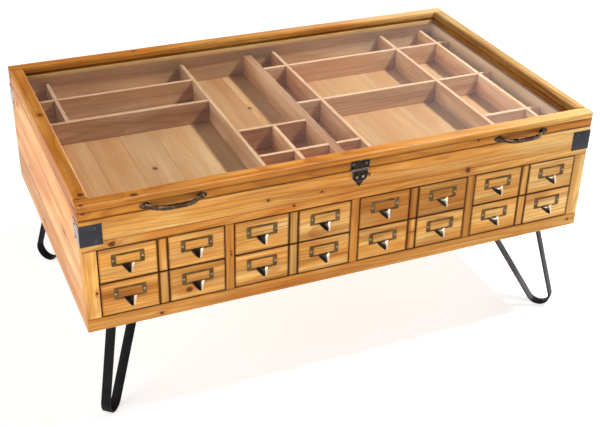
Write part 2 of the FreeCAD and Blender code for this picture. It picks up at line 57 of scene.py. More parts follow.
LIX, LIY = 474.0, 277.0
BAY = (1000.0 - 51.0 - 48.0) / 4.0
DZ0, DZ1 = Z0 + 161.0, Z0 + 207.5


def bay_x(i):
    return -HX + 25.5 + i * (BAY + 16.0)


def to_m(v):
    """Millimetres before the shift to metres in the row frame."""
    v = np.asarray(v, float).reshape(-1, 3).copy()
    v[:, 1] += SHIFT
    return v * 0.001


# ------------------------------------------------------------------- meshes
class Mesh:
    """Gathers closed shells with per-point attributes into one object."""

    FLOATS = ("edge",)
    VECS = ("bc", "bp", "tone", "k1", "k2", "k3")

    def __init__(self):
        self.v, self.f, self.m = [], [], []
        self.a = {k: [] for k in self.FLOATS + self.VECS}
        self.n = 0

    def add(self, verts, faces, mat=0, **attrs):
        verts = np.asarray(verts, float).reshape(-1, 3)
        n = len(verts)
        self.v.append(verts)
        for k, f in enumerate(faces):
            self.f.append([i + self.n for i in f])
            self.m.append(mat if isinstance(mat, int) else mat[k])
        for k in self.FLOATS:
            x = attrs.get(k, 0.0)
            self.a[k].append(np.broadcast_to(np.asarray(x, float), (n,)))
        for k in self.VECS:
            x = attrs.get(k, (0.0, 0.0, 0.0))
            self.a[k].append(np.broadcast_to(np.asarray(x, float), (n, 3)))
        self.n += n

    def build(self, name, mats, body, slot, replaces=(), wood=True, angle=40.0):
        me = bpy.data.meshes.new(name)
        co = to_m(np.concatenate(self.v))
        me.from_pydata(co.tolist(), [], self.f)
        me.validate(clean_customdata=False)
        for m in mats:
            me.materials.append(m)
        me.polygons.foreach_set("material_index", self.m)
        if wood:
            for k in self.FLOATS:
                a = me.attributes.new(k, "FLOAT", "POINT")
                a.data.foreach_set("value", np.concatenate(self.a[k]).astype(np.float32))
            for k in self.VECS:
                a = me.attributes.new(k, "FLOAT_VECTOR", "POINT")
                a.data.foreach_set(
                    "vector", np.concatenate(self.a[k]).astype(np.float32).ravel())
        me.shade_smooth()
        me.set_sharp_from_angle(angle=math.radians(angle))
        ob = bpy.data.objects.new(name, me)
        bpy.context.scene.collection.objects.link(ob)
        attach(ob, body)
        if replaces:
            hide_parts(*replaces)
        return ob


def lattice(h, r, seg, inset, step):
    """Positions across one side of a rounded box, from -h to +h."""
    zone = [math.tan(math.radians(45.0 * k / seg)) * r for k in range(seg + 1)]
    flat = h - r
    out = [flat + t for t in zone]
    inner = flat - inset
    if inner <= 0:
        inner = flat * 0.5
    n = max(1, int(math.ceil(2 * inner / step)))
    mid = [-inner + 2 * inner * k / n for k in range(n + 1)]
    return np.array([-p for p in reversed(out)] + mid + out)


def rounded_box(x0, x1, y0, y1, z0, z1, r=1.0, seg=3, inset=2.2, step=60.0):
    """Vertices, quads and an edge weight for a box with rounded edges."""
    c = np.array([(x0 + x1) / 2, (y0 + y1) / 2, (z0 + z1) / 2])
    h = np.array([(x1 - x0) / 2, (y1 - y0) / 2, (z1 - z0) / 2])
    r = min(r, 0.95 * h.min())
    ax = [lattice(h[k], r, seg, inset, step) for k in range(3)]
    index, verts, faces = {}, [], []

    def vid(p):
        key = (round(p[0], 5), round(p[1], 5), round(p[2], 5))
        if key not in index:
            index[key] = len(verts)
            verts.append(p)
        return index[key]

    for k in range(3):
        a, b = (k + 1) % 3, (k + 2) % 3
        for s in (-1, 1):
            grid = []
            for pa in ax[a]:
                row = []
                for pb in ax[b]:
                    p = [0.0, 0.0, 0.0]
                    p[k], p[a], p[b] = s * h[k], pa, pb
                    row.append(vid(p))
                grid.append(row)
            for i in range(len(ax[a]) - 1):
                for j in range(len(ax[b]) - 1):
                    q = [grid[i][j], grid[i + 1][j], grid[i + 1][j + 1], grid[i][j + 1]]
                    faces.append(q if s > 0 else q[::-1])
    v = np.array(verts)
    core = np.clip(v, -(h - r), h - r)
    d = v - core
    ln = np.linalg.norm(d, axis=1)
    zone = (np.abs(d) > 1e-6).sum(axis=1) >= 2
    flush = np.zeros(len(v))
    for k in range(3):
        a, b = (k + 1) % 3, (k + 2) % 3
        on = np.abs(np.abs(v[:, k]) - h[k]) < 1e-6
        near = (np.abs(np.abs(v[:, a]) - (h[a] - r)) < 1e-6) | \
               (np.abs(np.abs(v[:, b]) - (h[b] - r)) < 1e-6)
        flush[on & near] = 0.55
    edge = np.where(zone, 1.0, flush)
    v = core + d / ln[:, None] * r
    nrm = d / ln[:, None]
    return v + c, faces, edge, nrm


SEED = [11]
AX = {"x": 0, "y": 1, "z": 2}


def wood_coords(verts, centre, dims, grain, rng, pith=None, knots=(), tone=(1.0, 0.0),
                cross=None):
    """Board coordinates: along the grain, across it, through the thickness."""
    g = AX[grain]
    rest = [k for k in range(3) if k != g]
    rest.sort(key=lambda k: (-dims[k], k == 1))
    if cross is not None:
        rest.sort(key=lambda k: k != AX[cross])
    vax, wax = rest
    p = (verts - centre) * 0.001
    width = dims[vax] * 0.001
    if pith is None:
        if rng.random() < 0.6:
            v0 = rng.uniform(-0.7, 0.7) * width
            w0 = rng.choice((-1, 1)) * rng.uniform(0.015, 0.06)
        else:
            v0 = rng.choice((-1, 1)) * (width * 0.5 + rng.uniform(0.01, 0.1))
            w0 = rng.uniform(-0.05, 0.05)
        kv, kw = rng.uniform(-0.02, 0.02), rng.uniform(-0.06, 0.06)
    else:
        v0, w0, kv, kw = pith
    uo = rng.uniform(1.0, 9.0)
    bc = np.stack([p[:, g] + uo, p[:, vax] - v0, p[:, wax] - w0], axis=1)
    # the tilt of the pith turns about the middle of the board
    out = {"bc": bc, "bp": (kv, kw, rng.uniform(0.0, 1.0))}
    gb, gw = rng.uniform(0.96, 1.04), rng.uniform(-0.1, 0.1)
    if isinstance(tone[0], tuple):
        # stops of (place along the board, brightness, warmth)
        at = verts[:, g] - centre[g]
        st = np.array(tone)
        out["tone"] = np.stack([np.interp(at, st[:, 0], st[:, 1]) * gb,
                                np.interp(at, st[:, 0], st[:, 2]) + gw,
                                np.full(len(at), uo)], axis=1)
    else:
        out["tone"] = (tone[0] * gb, tone[1] + gw, uo)
    for i in range(3):
        if i < len(knots):
            ku, kvv, rad = knots[i]
            out["k%d" % (i + 1)] = (ku * 0.001 + uo, kvv * 0.001 - v0, rad * 0.001)
        else:
            out["k%d" % (i + 1)] = (0.0, 0.0, 0.0)
    return out


def board(mb, x0, x1, y0, y1, z0, z1, grain="x", r=1.0, seg=3, tone=(1.0, 0.0),
          knots=(), pith=None, dark=1.0, mat=0, wave=0.1, step=60.0, inset=2.2,
          pale=None, light=(), gap=0.0, face=None):
    """One solid-wood board with eased edges and its own piece of the tree."""
    SEED[0] += 1
    rng = random.Random(SEED[0] * 7919)
    v, f, edge, nrm = rounded_box(x0, x1, y0, y1, z0, z1, r, seg, inset, step)
    c = np.array([(x0 + x1) / 2, (y0 + y1) / 2, (z0 + z1) / 2])
    dims = (x1 - x0, y1 - y0, z1 - z0)
    attrs = wood_coords(v, c, dims, grain, rng, pith, knots, tone)
    if wave:
        ph = [rng.uniform(0, 6.28) for _ in range(6)]
        q = (v - c) * 0.001
        s = (np.sin(q[:, 0] * 23 + ph[0]) + np.sin(q[:, 1] * 27 + ph[1]) +
             np.sin(q[:, 2] * 31 + ph[2]) + np.sin(q[:, 0] * 61 + ph[3]) +
             np.sin(q[:, 1] * 57 + ph[4]))
        v = v - nrm * ((0.5 + s * 0.1) * wave)[:, None]
    raw_edge = edge
    edge = edge * dark
    lim = {"x0": v[:, 0] < x0 + 1.2, "x1": v[:, 0] > x1 - 1.2,
           "y0": v[:, 1] < y0 + 1.2, "y1": v[:, 1] > y1 - 1.2,
           "z0": v[:, 2] < z0 + 1.2, "z1": v[:, 2] > z1 - 1.2}
    if gap:
        edge = np.where(v[:, 1] > y0 + 1.0, np.maximum(edge, gap), edge)
    for k in light:
        edge = np.where(lim[k], edge * 0.2, edge)
    # pale paints the pale colour on one side's arrises, a painted highlight
    if pale:
        on = lim[pale[0]]
        edge = np.where(on & (raw_edge > 0.9) if len(pale) > 2 else on, -pale[1],
                        np.where(on & (len(pale) > 2), 0.0, edge))
    if face:
        near = {"y0": v[:, 1] < y0 + 0.2, "z1": v[:, 2] > z1 - 0.2}[face[0]]
        mat = [face[1] if near[q].all() else mat for q in f]
    mb.add(v, f, mat, edge=edge, **attrs)


# -------------------------------------------------------------- node helper
class Nodes:
    def __init__(self, name):
        self.mat = bpy.data.materials.new(name)
        self.mat.use_nodes = True
        self.t = self.mat.node_tree
        self.t.nodes.clear()
        self.out = self.t.nodes.new("ShaderNodeOutputMaterial")

    def put(self, node, key, val):
        if val is None:
            return
        if isinstance(val, bpy.types.NodeSocket):
            self.t.links.new(val, node.inputs[key])
        else:
            node.inputs[key].default_value = val

    def attr(self, name):
        n = self.t.nodes.new("ShaderNodeAttribute")
        n.attribute_type = "GEOMETRY"
        n.attribute_name = name
        return n.outputs["Vector"]

    def attrf(self, name):
        n = self.t.nodes.new("ShaderNodeAttribute")
        n.attribute_type = "GEOMETRY"
        n.attribute_name = name
        return n.outputs["Fac"]

    def sep(self, vec):
        n = self.t.nodes.new("ShaderNodeSeparateXYZ")
        self.put(n, 0, vec)
        return n.outputs[0], n.outputs[1], n.outputs[2]

    def comb(self, x, y, z):
        n = self.t.nodes.new("ShaderNodeCombineXYZ")
        for k, q in enumerate((x, y, z)):
            self.put(n, k, q)
        return n.outputs[0]

    def m(self, op, a, b=None, c=None, clamp=False):
        n = self.t.nodes.new("ShaderNodeMath")
        n.operation = op
        n.use_clamp = clamp
        self.put(n, 0, a)
        self.put(n, 1, b)
        self.put(n, 2, c)
        return n.outputs[0]

    def vm(self, op, a, b=None):
        n = self.t.nodes.new("ShaderNodeVectorMath")
        n.operation = op
        self.put(n, 0, a)
        if op == "SCALE":
            self.put(n, 3, b)
            return n.outputs[0]
        self.put(n, 1, b)
        return n.outputs[1] if op == "LENGTH" else n.outputs[0]

    def noise(self, vec, scale=1.0, detail=2.0, rough=0.5, dist=0.0):
        n = self.t.nodes.new("ShaderNodeTexNoise")
        self.put(n, "Vector", vec)
        self.put(n, "Scale", scale)
        self.put(n, "Detail", detail)
        self.put(n, "Roughness", rough)
        self.put(n, "Distortion", dist)
        return n.outputs["Fac"], n.outputs["Color"]

    def ramp(self, fac, stops, interp="LINEAR"):
        n = self.t.nodes.new("ShaderNodeValToRGB")
        n.color_ramp.interpolation = interp
        el = n.color_ramp.elements
        while len(el) < len(stops):
            el.new(0.5)
        for e, (p, c) in zip(el, stops):
            e.position = p
            e.color = (c, c, c, 1.0) if isinstance(c, (int, float)) else (*c, 1.0)
        self.put(n, 0, fac)
        return n.outputs[0]

    def mix(self, fac, a, b, mode="MIX"):
        n = self.t.nodes.new("ShaderNodeMix")
        n.data_type = "RGBA"
        n.blend_type = mode
        n.clamp_factor = True
        ins = [s for s in n.inputs if s.enabled]
        self.t.links.new(fac, n.inputs[0]) if isinstance(fac, bpy.types.NodeSocket) \
            else setattr(n.inputs[0], "default_value", fac)
        for key, val in ((6, a), (7, b)):
            if isinstance(val, bpy.types.NodeSocket):
                self.t.links.new(val, n.inputs[key])
            else:
                n.inputs[key].default_value = (*val, 1.0)
        return n.outputs[2]

    def coord(self):
        n = self.t.nodes.new("ShaderNodeTexCoord")
        return n.outputs["Object"]

    def smooth(self, val, lo, hi):
        n = self.t.nodes.new("ShaderNodeMapRange")
        n.interpolation_type = "SMOOTHSTEP"
        self.put(n, 0, val)
        self.put(n, 1, lo)
        self.put(n, 2, hi)
        return n.outputs[0]

    def principled(self, **kw):
        n = self.t.nodes.new("ShaderNodeBsdfPrincipled")
        for k, val in kw.items():
            self.put(n, k.replace("_", " "), val)
        self.t.links.new(n.outputs[0], self.out.inputs[0])
        return n

    def bump(self, height, strength, distance):
        n = self.t.nodes.new("ShaderNodeBump")
        self.put(n, "Strength", strength)
        self.put(n, "Distance", distance)
        self.put(n, "Height", height)
        return n.outputs[0]


def wood(name, early, early2, late, streak, knot, edge, pale, spacing=0.0036, contrast=0.45,
         streaks=0.5, rough=0.42, coat=0.0, fibre=0.12, edge_amount=0.6,
         warm=(1.04, 0.80, 0.56), bump=0.25, blotch=0.16, spec=0.3, halo=0.42):
    """Softwood: growth rings about a pith, latewood bands, fibres and knots."""
    g = Nodes(name)
    bc = g.attr("bc")
    u, v, w = g.sep(bc)
    kv, kw, sd = g.sep(g.attr("bp"))
    tb, tw, uo = g.sep(g.attr("tone"))
    ul = g.m("SUBTRACT", u, uo)
    nv = g.vm("ADD", bc, g.comb(g.m("MULTIPLY", sd, 17.0), g.m("MULTIPLY", sd, 9.0),
                                g.m("MULTIPLY", sd, 5.0)))
    low, lowc = g.noise(g.vm("MULTIPLY", nv, (2.2, 11.0, 11.0)), 1.0, 2.0, 0.5)
    mid, _ = g.noise(g.vm("MULTIPLY", nv, (7.0, 55.0, 55.0)), 1.0, 2.0, 0.5)
    lr, lg, lb = g.sep(lowc)
    vv = g.m("ADD", g.m("ADD", v, g.m("MULTIPLY", kv, ul)),
             g.m("MULTIPLY", g.m("SUBTRACT", lr, 0.5), 0.030))
    ww = g.m("ADD", g.m("ADD", w, g.m("MULTIPLY", kw, ul)),
             g.m("MULTIPLY", g.m("SUBTRACT", lg, 0.5), 0.024))
    rad = g.m("SQRT", g.m("ADD", g.m("MULTIPLY", vv, vv), g.m("MULTIPLY", ww, ww)))
    rad = g.m("ADD", rad, g.m("MULTIPLY", g.m("SUBTRACT", mid, 0.5), 0.0034))
    wobn, _ = g.noise(g.vm("MULTIPLY", nv, (90.0, 130.0, 130.0)), 1.0, 2.0, 0.55)
    masks, rims, halos, rings = [], [], [], []
    for i in (1, 2, 3):
        ku, kvv, kr = g.sep(g.attr("k%d" % i))
        rs = g.m("MAXIMUM", kr, 0.0001)
        du = g.m("DIVIDE", g.m("DIVIDE", g.m("SUBTRACT", u, ku), rs), 1.25)
        dv = g.m("DIVIDE", g.m("SUBTRACT", v, kvv), rs)
        wob = g.m("MULTIPLY", g.m("SUBTRACT", wobn, 0.5), 1.1)
        d2 = g.m("ADD", g.m("MULTIPLY", du, du), g.m("MULTIPLY", dv, dv))
        d = g.m("ADD", g.m("SQRT", d2), wob)
        swirl = g.m("MULTIPLY", g.m("EXPONENT", g.m("MULTIPLY", d2, -0.20)),
                    g.m("MULTIPLY", rs, 1.3))
        rad = g.m("ADD", rad, swirl)
        masks.append(g.smooth(d, 1.25, 0.62))
        rims.append(g.m("MAXIMUM", g.m("MULTIPLY", g.smooth(d, 0.60, 0.95),
                                       g.smooth(d, 1.25, 1.0)), g.smooth(d, 0.45, 0.12)))
        hu = g.m("DIVIDE", du, 2.2)
        hd = g.m("SQRT", g.m("ADD", g.m("MULTIPLY", hu, hu), g.m("MULTIPLY", dv, dv)))
        halos.append(g.smooth(g.m("ADD", hd, wob), 2.4, 0.9))
        rings.append(d)
    ph = g.m("DIVIDE", rad, spacing)
    wide, _ = g.noise(g.comb(g.m("MULTIPLY", rad, 70.0), g.m("MULTIPLY", sd, 31.0), 0.0),
                      1.0, 2.0, 0.5)
    ph = g.m("ADD", ph, g.m("MULTIPLY", wide, 3.0))
    fr = g.m("FRACT", ph)
    band = g.ramp(fr, [(0.0, 0.12), (0.35, 0.10), (0.62, 0.38), (0.84, 1.0),
                       (0.93, 0.95), (1.0, 0.12)])
    cvar = g.m("MULTIPLY_ADD", low, 1.0, 0.45)
    cvar = g.m("MULTIPLY", cvar, g.m("MULTIPLY_ADD", wide, 1.2, 0.35))
    band_c = g.m("MULTIPLY", g.m("MULTIPLY", band, cvar), contrast, clamp=True)
    hue, _ = g.noise(g.vm("MULTIPLY", nv, (1.7, 34.0, 34.0)), 1.0, 3.0, 0.6)
    col = g.mix(band_c, g.mix(g.smooth(hue, 0.36, 0.64), early, early2), late)
    st, _ = g.noise(g.vm("MULTIPLY", nv, (1.3, 40.0, 40.0)), 1.0, 4.0, 0.64)
    st2, _ = g.noise(g.vm("MULTIPLY", nv, (2.6, 170.0, 170.0)), 1.0, 3.0, 0.6)
    sf = g.m("MULTIPLY", g.smooth(st, 0.47, 0.72), streaks)
    sf2 = g.m("MULTIPLY", g.smooth(st2, 0.50, 0.74), g.m("MULTIPLY", streaks, 0.7))
    col = g.mix(g.m("MAXIMUM", sf, sf2), col, streak)
    fb, _ = g.noise(g.vm("MULTIPLY", nv, (16.0, 620.0, 620.0)), 1.0, 3.0, 0.6)
    fb2 = g.m("MULTIPLY_ADD", g.m("SUBTRACT", fb, 0.5), fibre * 2.4, 1.0)
    bl, _ = g.noise(g.vm("MULTIPLY", nv, (3.4, 13.0, 13.0)), 1.0, 4.0, 0.62)
    bl2 = g.m("MULTIPLY_ADD", g.m("SUBTRACT", bl, 0.5), blotch * 2.2, 1.0)
    bl2 = g.m("ADD", bl2, g.m("MULTIPLY", g.m("SUBTRACT", mid, 0.5), blotch * 1.3))
    gain = g.m("MULTIPLY", g.m("MULTIPLY", fb2, bl2), tb)
    col = g.mix(1.0, col, g.comb(gain, gain, gain), "MULTIPLY")
    wf = g.m("ADD", tw, g.m("MULTIPLY", g.m("SUBTRACT", g.smooth(bl, 0.62, 0.38), 0.4),
                            blotch * 2.6))
    col = g.mix(g.m("MAXIMUM", wf, 0.0), col, g.mix(1.0, col, warm, "MULTIPLY"))
    col = g.mix(g.m("MAXIMUM", g.m("MULTIPLY", wf, -0.625), 0.0), col,
                g.mix(1.0, col, (1.064, 1.384, 2.2), "MULTIPLY"))
    for mk, rm, hl, d in zip(masks, rims, halos, rings):
        rg = g.m("MULTIPLY_ADD", g.m("SINE", g.m("MULTIPLY", d, 13.0)), 0.16, 0.84)
        kc = g.mix(1.0, knot, g.comb(rg, rg, rg), "MULTIPLY")
        col = g.mix(g.m("MULTIPLY", hl, halo), col, streak)
        col = g.mix(g.m("MULTIPLY", mk, 0.95), col, kc)
        col = g.mix(g.m("MULTIPLY", rm, 0.5), col,
                    (knot[0] * 0.25, knot[1] * 0.2, knot[2] * 0.18))
    en, _ = g.noise(g.vm("MULTIPLY", nv, (26.0, 110.0, 110.0)), 1.0, 3.0, 0.62)
    ea = g.attrf("edge")
    ef = g.m("MULTIPLY", g.m("MAXIMUM", ea, 0.0), g.m("MULTIPLY_ADD", en, 1.1, 0.42))
    ef = g.m("MULTIPLY", ef, edge_amount, clamp=True)
    col = g.mix(ef, col, edge)
    # below zero the edge weight paints the pale colour: painted highlights and painted light on
    # upward faces
    ep = g.m("MULTIPLY", g.m("MAXIMUM", g.m("MULTIPLY", ea, -1.0), 0.0),
             g.m("MULTIPLY_ADD", en, 0.9, 0.5), clamp=True)
    col = g.mix(ep, col, pale)
    rgh = g.m("ADD", g.m("MULTIPLY_ADD", band, -0.06, rough),
              g.m("MULTIPLY", g.m("SUBTRACT", bl, 0.5), 0.16))
    h = g.m("ADD", g.m("MULTIPLY", fb, 0.5), g.m("MULTIPLY", band, 0.4))
    g.principled(Base_Color=col, Roughness=rgh, Coat_Weight=coat,
                 Coat_Roughness=0.28, IOR=1.47, Specular_IOR_Level=spec,
                 Normal=g.bump(h, bump, 0.0005))
    return g.mat


def metal(name, dark, lite, worn, rough=0.42, metallic=1.0, scale=140.0, wear=0.4,
          bump=0.12, pits=0.3, coat=0.0, spec=0.5, painted_sheen=None):
    """Cast or sheet metal with patina patches, rubbed spots and fine pitting."""
    g = Nodes(name)
    p = g.coord()
    a, _ = g.noise(p, scale, 4.0, 0.6)
    b, _ = g.noise(p, scale * 4.2, 3.0, 0.6)
    c, _ = g.noise(p, scale * 13.0, 2.0, 0.5)
    col = g.mix(g.smooth(a, 0.35, 0.68), dark, lite)
    geo = g.t.nodes.new("ShaderNodeNewGeometry")
    pt = g.smooth(geo.outputs["Pointiness"], 0.505, 0.56)
    wear_and_sheen = g.m("MULTIPLY", g.m("MAXIMUM", pt, g.m("MULTIPLY", g.smooth(b, 0.60, 0.74), 0.5)),
              wear)
    col = g.mix(wear_and_sheen, col, worn)
    col = g.mix(g.m("MULTIPLY", g.smooth(c, 0.60, 0.75), pits), col,
                (dark[0] * 0.4, dark[1] * 0.4, dark[2] * 0.4))
    if painted_sheen:
        # painted sheen carried on the mesh: a painted highlight on the pull tongues, a painted
        # reflection on one leg; those places are made less metallic
        sheen_mask = g.m("MULTIPLY", g.attrf("edge"), g.m("MULTIPLY_ADD", b, 0.6, 0.7), clamp=True)
        col = g.mix(sheen_mask, col, painted_sheen)
        if metallic:
            metallic = g.m("MULTIPLY_ADD", sheen_mask, -0.8 * metallic, metallic)
    rgh = g.m("ADD", g.m("MULTIPLY_ADD", g.m("SUBTRACT", a, 0.5), 0.35, rough),
              g.m("MULTIPLY", wear_and_sheen, -0.12))
    h = g.m("ADD", b, g.m("MULTIPLY", c, 0.5))
    g.principled(Base_Color=col, Roughness=rgh, Metallic=metallic, Coat_Weight=coat,
                 Coat_Roughness=0.3, Specular_IOR_Level=spec,
                 Normal=g.bump(h, bump, 0.0004))
    return g.mat


PALE = (0.82, 0.50, 0.335)
PINE = wood("pine_stained", (0.64, 0.29, 0.056), (0.73, 0.43, 0.135),
            (0.36, 0.125, 0.018), (0.29, 0.086, 0.010), (0.15, 0.030, 0.0035),
            (0.105, 0.030, 0.004), (0.84, 0.52, 0.27), spacing=0.0054, contrast=0.56,
            streaks=0.72, rough=0.46, edge_amount=0.9, blotch=0.40, fibre=0.24, spec=0.12,
            warm=(1.05, 0.77, 0.46))
TOPW = wood("pine_lid_top", (0.60, 0.262, 0.038), (0.69, 0.375, 0.088),
            (0.34, 0.112, 0.013), (0.27, 0.076, 0.008), (0.13, 0.026, 0.003),
            (0.085, 0.023, 0.003), (0.58, 0.36, 0.185), spacing=0.0054, contrast=0.62,
            streaks=0.85, rough=0.46, edge_amount=0.9, blotch=0.40, fibre=0.24, spec=0.12,
            warm=(1.05, 0.77, 0.46))
SIDEW = wood("pine_side", (0.655, 0.335, 0.128), (0.72, 0.435, 0.21), (0.44, 0.175, 0.044),
             (0.35, 0.115, 0.022), (0.21, 0.046, 0.008), (0.14, 0.046, 0.010),
             (0.84, 0.52, 0.27), spacing=0.0062, contrast=0.66, streaks=0.95, rough=0.5,
             edge_amount=0.6, blotch=0.40, fibre=0.24, spec=0.14)
RAW = wood("pine_raw", (0.69, 0.435, 0.240), (0.75, 0.505, 0.295), (0.52, 0.295, 0.142),
           (0.45, 0.24, 0.116), (0.25, 0.085, 0.04), (0.28, 0.13, 0.06), PALE,
           contrast=0.55, streaks=0.5, rough=0.62, edge_amount=0.3, bump=0.2, spec=0.16)
DIVW = wood("pine_divider", (0.66, 0.352, 0.178), (0.75, 0.46, 0.25),
            (0.47, 0.23, 0.105), (0.41, 0.178, 0.077), (0.22, 0.06, 0.026),
            (0.17, 0.07, 0.030), PALE, contrast=0.5, streaks=0.55, rough=0.6,
            edge_amount=0.5, bump=0.2, blotch=0.3, spec=0.14)
DIVT = wood("pine_divider_top", (0.45, 0.212, 0.106), (0.495, 0.260, 0.142),
            (0.32, 0.136, 0.062), (0.28, 0.11, 0.047), (0.20, 0.055, 0.024),
            (0.17, 0.07, 0.030), PALE, contrast=0.5, streaks=0.6, rough=0.6,
            edge_amount=0.5, bump=0.2, blotch=0.3, spec=0.14)
FLOORW = wood("pine_well_floor", (0.605, 0.312, 0.142), (0.64, 0.375, 0.192),
              (0.50, 0.245, 0.10), (0.47, 0.22, 0.088), (0.26, 0.085, 0.03),
              (0.28, 0.125, 0.05), PALE, spacing=0.0044, contrast=0.34, streaks=0.4,
              rough=0.6, edge_amount=0.3, bump=0.15, blotch=0.16, halo=0.3, spec=0.16)
BRONZE = metal("aged_bronze", (0.045, 0.024, 0.014), (0.13, 0.076, 0.046),
               (0.42, 0.31, 0.23), rough=0.26, wear=0.35)
FOOTM = metal("aged_bronze_foot", (0.022, 0.012, 0.008), (0.060, 0.034, 0.021),
              (0.16, 0.11, 0.08), rough=0.30, wear=0.3)
PULLM = metal("aged_brass_frame", (0.090, 0.047, 0.015), (0.170, 0.094, 0.033),
              (0.30, 0.20, 0.11), rough=0.40, wear=0.35, scale=70.0, pits=0.15)
# the painted sheen on the pull tongue is a painted highlight stripe down its right flank
BEAKM = metal("aged_pull_tongue", (0.034, 0.025, 0.018), (0.060, 0.046, 0.034),
              (0.30, 0.27, 0.24), rough=0.33, wear=0.0, scale=80.0, pits=0.1,
              painted_sheen=(0.56, 0.43, 0.31))
HASPM = metal("hasp_iron", (0.011, 0.008, 0.007), (0.036, 0.025, 0.020),
              (0.42, 0.35, 0.30), rough=0.28, wear=0.4)
BRKT = metal("bracket_steel", (0.008, 0.010, 0.020), (0.021, 0.022, 0.035),
             (0.055, 0.048, 0.046), rough=0.42, wear=0.35, metallic=0.0, spec=0.14,
             scale=60.0)
# pale flap metal: a painted reflection on the side flaps of the left-hand brackets
BFLAP_REFLECT = metal("bracket_flap_painted_reflection", (0.20, 0.145, 0.110), (0.37, 0.285, 0.235),
              (0.50, 0.41, 0.35), rough=0.36, wear=0.4, metallic=0.85)
BNAIL = metal("bracket_nail", (0.012, 0.011, 0.014), (0.030, 0.027, 0.029),
              (0.10, 0.095, 0.095), rough=0.42, wear=0.4, metallic=0.1, spec=0.3)
NAIL = metal("nail_steel", (0.20, 0.19, 0.18), (0.42, 0.41, 0.39), (0.8, 0.79, 0.76),
             rough=0.33, wear=0.5)
PIN = metal("pull_pin", (0.14, 0.115, 0.085), (0.26, 0.22, 0.17), (0.48, 0.42, 0.34),
            rough=0.42, wear=0.4)
# the painted sheen on this material is a painted reflection on one leg's bars
BLACK = metal("leg_black", (0.0045, 0.0045, 0.005), (0.008, 0.008, 0.009),
              (0.02, 0.02, 0.022), rough=0.5, metallic=0.0, scale=60.0, wear=0.3,
              bump=0.18, spec=0.05, painted_sheen=(0.072, 0.066, 0.072))


def glass_material():
    g = Nodes("lid_glass")
    tr = g.t.nodes.new("ShaderNodeBsdfTransparent")
    tr.inputs[0].default_value = (0.955, 0.975, 0.965, 1.0)
    gl = g.t.nodes.new("ShaderNodeBsdfPrincipled")
    gl.inputs["Base Color"].default_value = (0.88, 0.97, 1.0, 1.0)
    gl.inputs["Metallic"].default_value = 1.0
    sm, _ = g.noise(g.coord(), 9.0, 3.0, 0.55)
    g.put(gl, "Roughness", g.m("MULTIPLY_ADD", g.smooth(sm, 0.35, 0.75), 0.05, 0.02))
    fr = g.t.nodes.new("ShaderNodeFresnel")
    fr.inputs[0].default_value = 1.5
    geo = g.t.nodes.new("ShaderNodeNewGeometry")
    front = g.m("SUBTRACT", 1.0, geo.outputs["Backfacing"])
    fac = g.m("MULTIPLY", g.m("MINIMUM", g.m("MULTIPLY", fr.outputs[0], 1.15), 0.135),
              front, clamp=True)
    mx = g.t.nodes.new("ShaderNodeMixShader")
    g.t.links.new(fac, mx.inputs[0])
    g.t.links.new(tr.outputs[0], mx.inputs[1])
    g.t.links.new(gl.outputs[0], mx.inputs[2])
    g.t.links.new(mx.outputs[0], g.out.inputs[0])
    return g.mat


GLASS = glass_material()

# ------------------------------------------------------------------ the case
# sides of three edge-glued planks each
for name, s in (("side_panel_left", -1), ("side_panel_right", 1)):
    mb = Mesh()
    x0, x1 = (-HX, -SIDE_X) if s < 0 else (SIDE_X, HX)
    cuts = [Z0, Z0 + 71.0, Z0 + 148.0, RIM]
    for k in range(3):
        board(mb, x0, x1, -IN_Y, HY, cuts[k], cuts[k + 1], "y",
              r=0.25 if k == 1 else 0.3, dark=0.30, inset=1.5,
              tone=(((-290.0, 0.88, 0.0), (-180.0, 0.84, 0.0), (0.0, 0.76, 0.2), (290.0, 0.72, 0.2)),
                    ((-290.0, 0.91, 0.35), (0.0, 0.93, 0.25), (200.0, 0.93, -0.1)),
                    (0.94, 0.38))[k], step=70.0,
              knots=[((40.0, -9.0, 5.0),), ((-170.0, 14.0, 4.5), (150.0, -20.0, 4.0)),
                     ((225.0, 10.0, 5.5),)][k])
    mb.build(name, [SIDEW], "case", "pine", [name])

mb = Mesh()
cuts = [Z0, Z0 + 68.0, Z0 + 139.0, RIM]
for k in range(3):
    board(mb, -SIDE_X, SIDE_X, IN_Y, HY, cuts[k], cuts[k + 1], "x", r=0.3, dark=0.4,
          inset=1.5, step=40.0,
          tone=(0.97, 0.15) if k < 2 else
          ((-474.0, 1.0, 0.05), (-200.0, 1.0, 0.05), (-75.0, 0.74, 0.0), (50.0, 0.80, 0.0),
           (120.0, 0.96, 0.0), (300.0, 0.98, 0.0), (390.0, 0.74, -0.1), (470.0, 1.35, -0.2)),
          knots=[(-260 + 210 * k, 12 - 9 * k, 8.0), (150 - 90 * k, -14 + 8 * k, 6.0)]
          if k < 2 else (), face=("y0", 1))
mb.build("back_panel", [PINE, RAW], "case", "pine", ["back_panel"])

mb = Mesh()
for k in range(7):
    a = -SIDE_X + 2 * SIDE_X * k / 7.0
    b = -SIDE_X + 2 * SIDE_X * (k + 1) / 7.0
    board(mb, a, b, -IN_Y, IN_Y, Z0, Z0 + 12.0, "y", r=0.5, dark=1.0, step=90.0)
mb.build("bottom_panel", [RAW], "case", "raw_pine", ["bottom_panel"])

F0, F1 = -HY, -IN_Y
mb = Mesh()
board(mb, -HX, HX, F0, F1, Z0, Z0 + 26.0, "x", r=1.0, dark=0.6,
      tone=((-480.0, 0.74, 0.95), (-200.0, 0.85, 0.5), (0.0, 0.67, 0.98), (200.0, 0.68, 0.78),
            (400.0, 0.82, 0.1), (490.0, 0.88, -0.1)),
      knots=[(-369.0, -5.0, 3.0), (480.2, 1.8, 2.6)], step=45.0, gap=1.2, light=("z0", "x0", "x1"))
mb.build("front_bottom_rail", [PINE], "case", "pine", ["front_bottom_rail"])

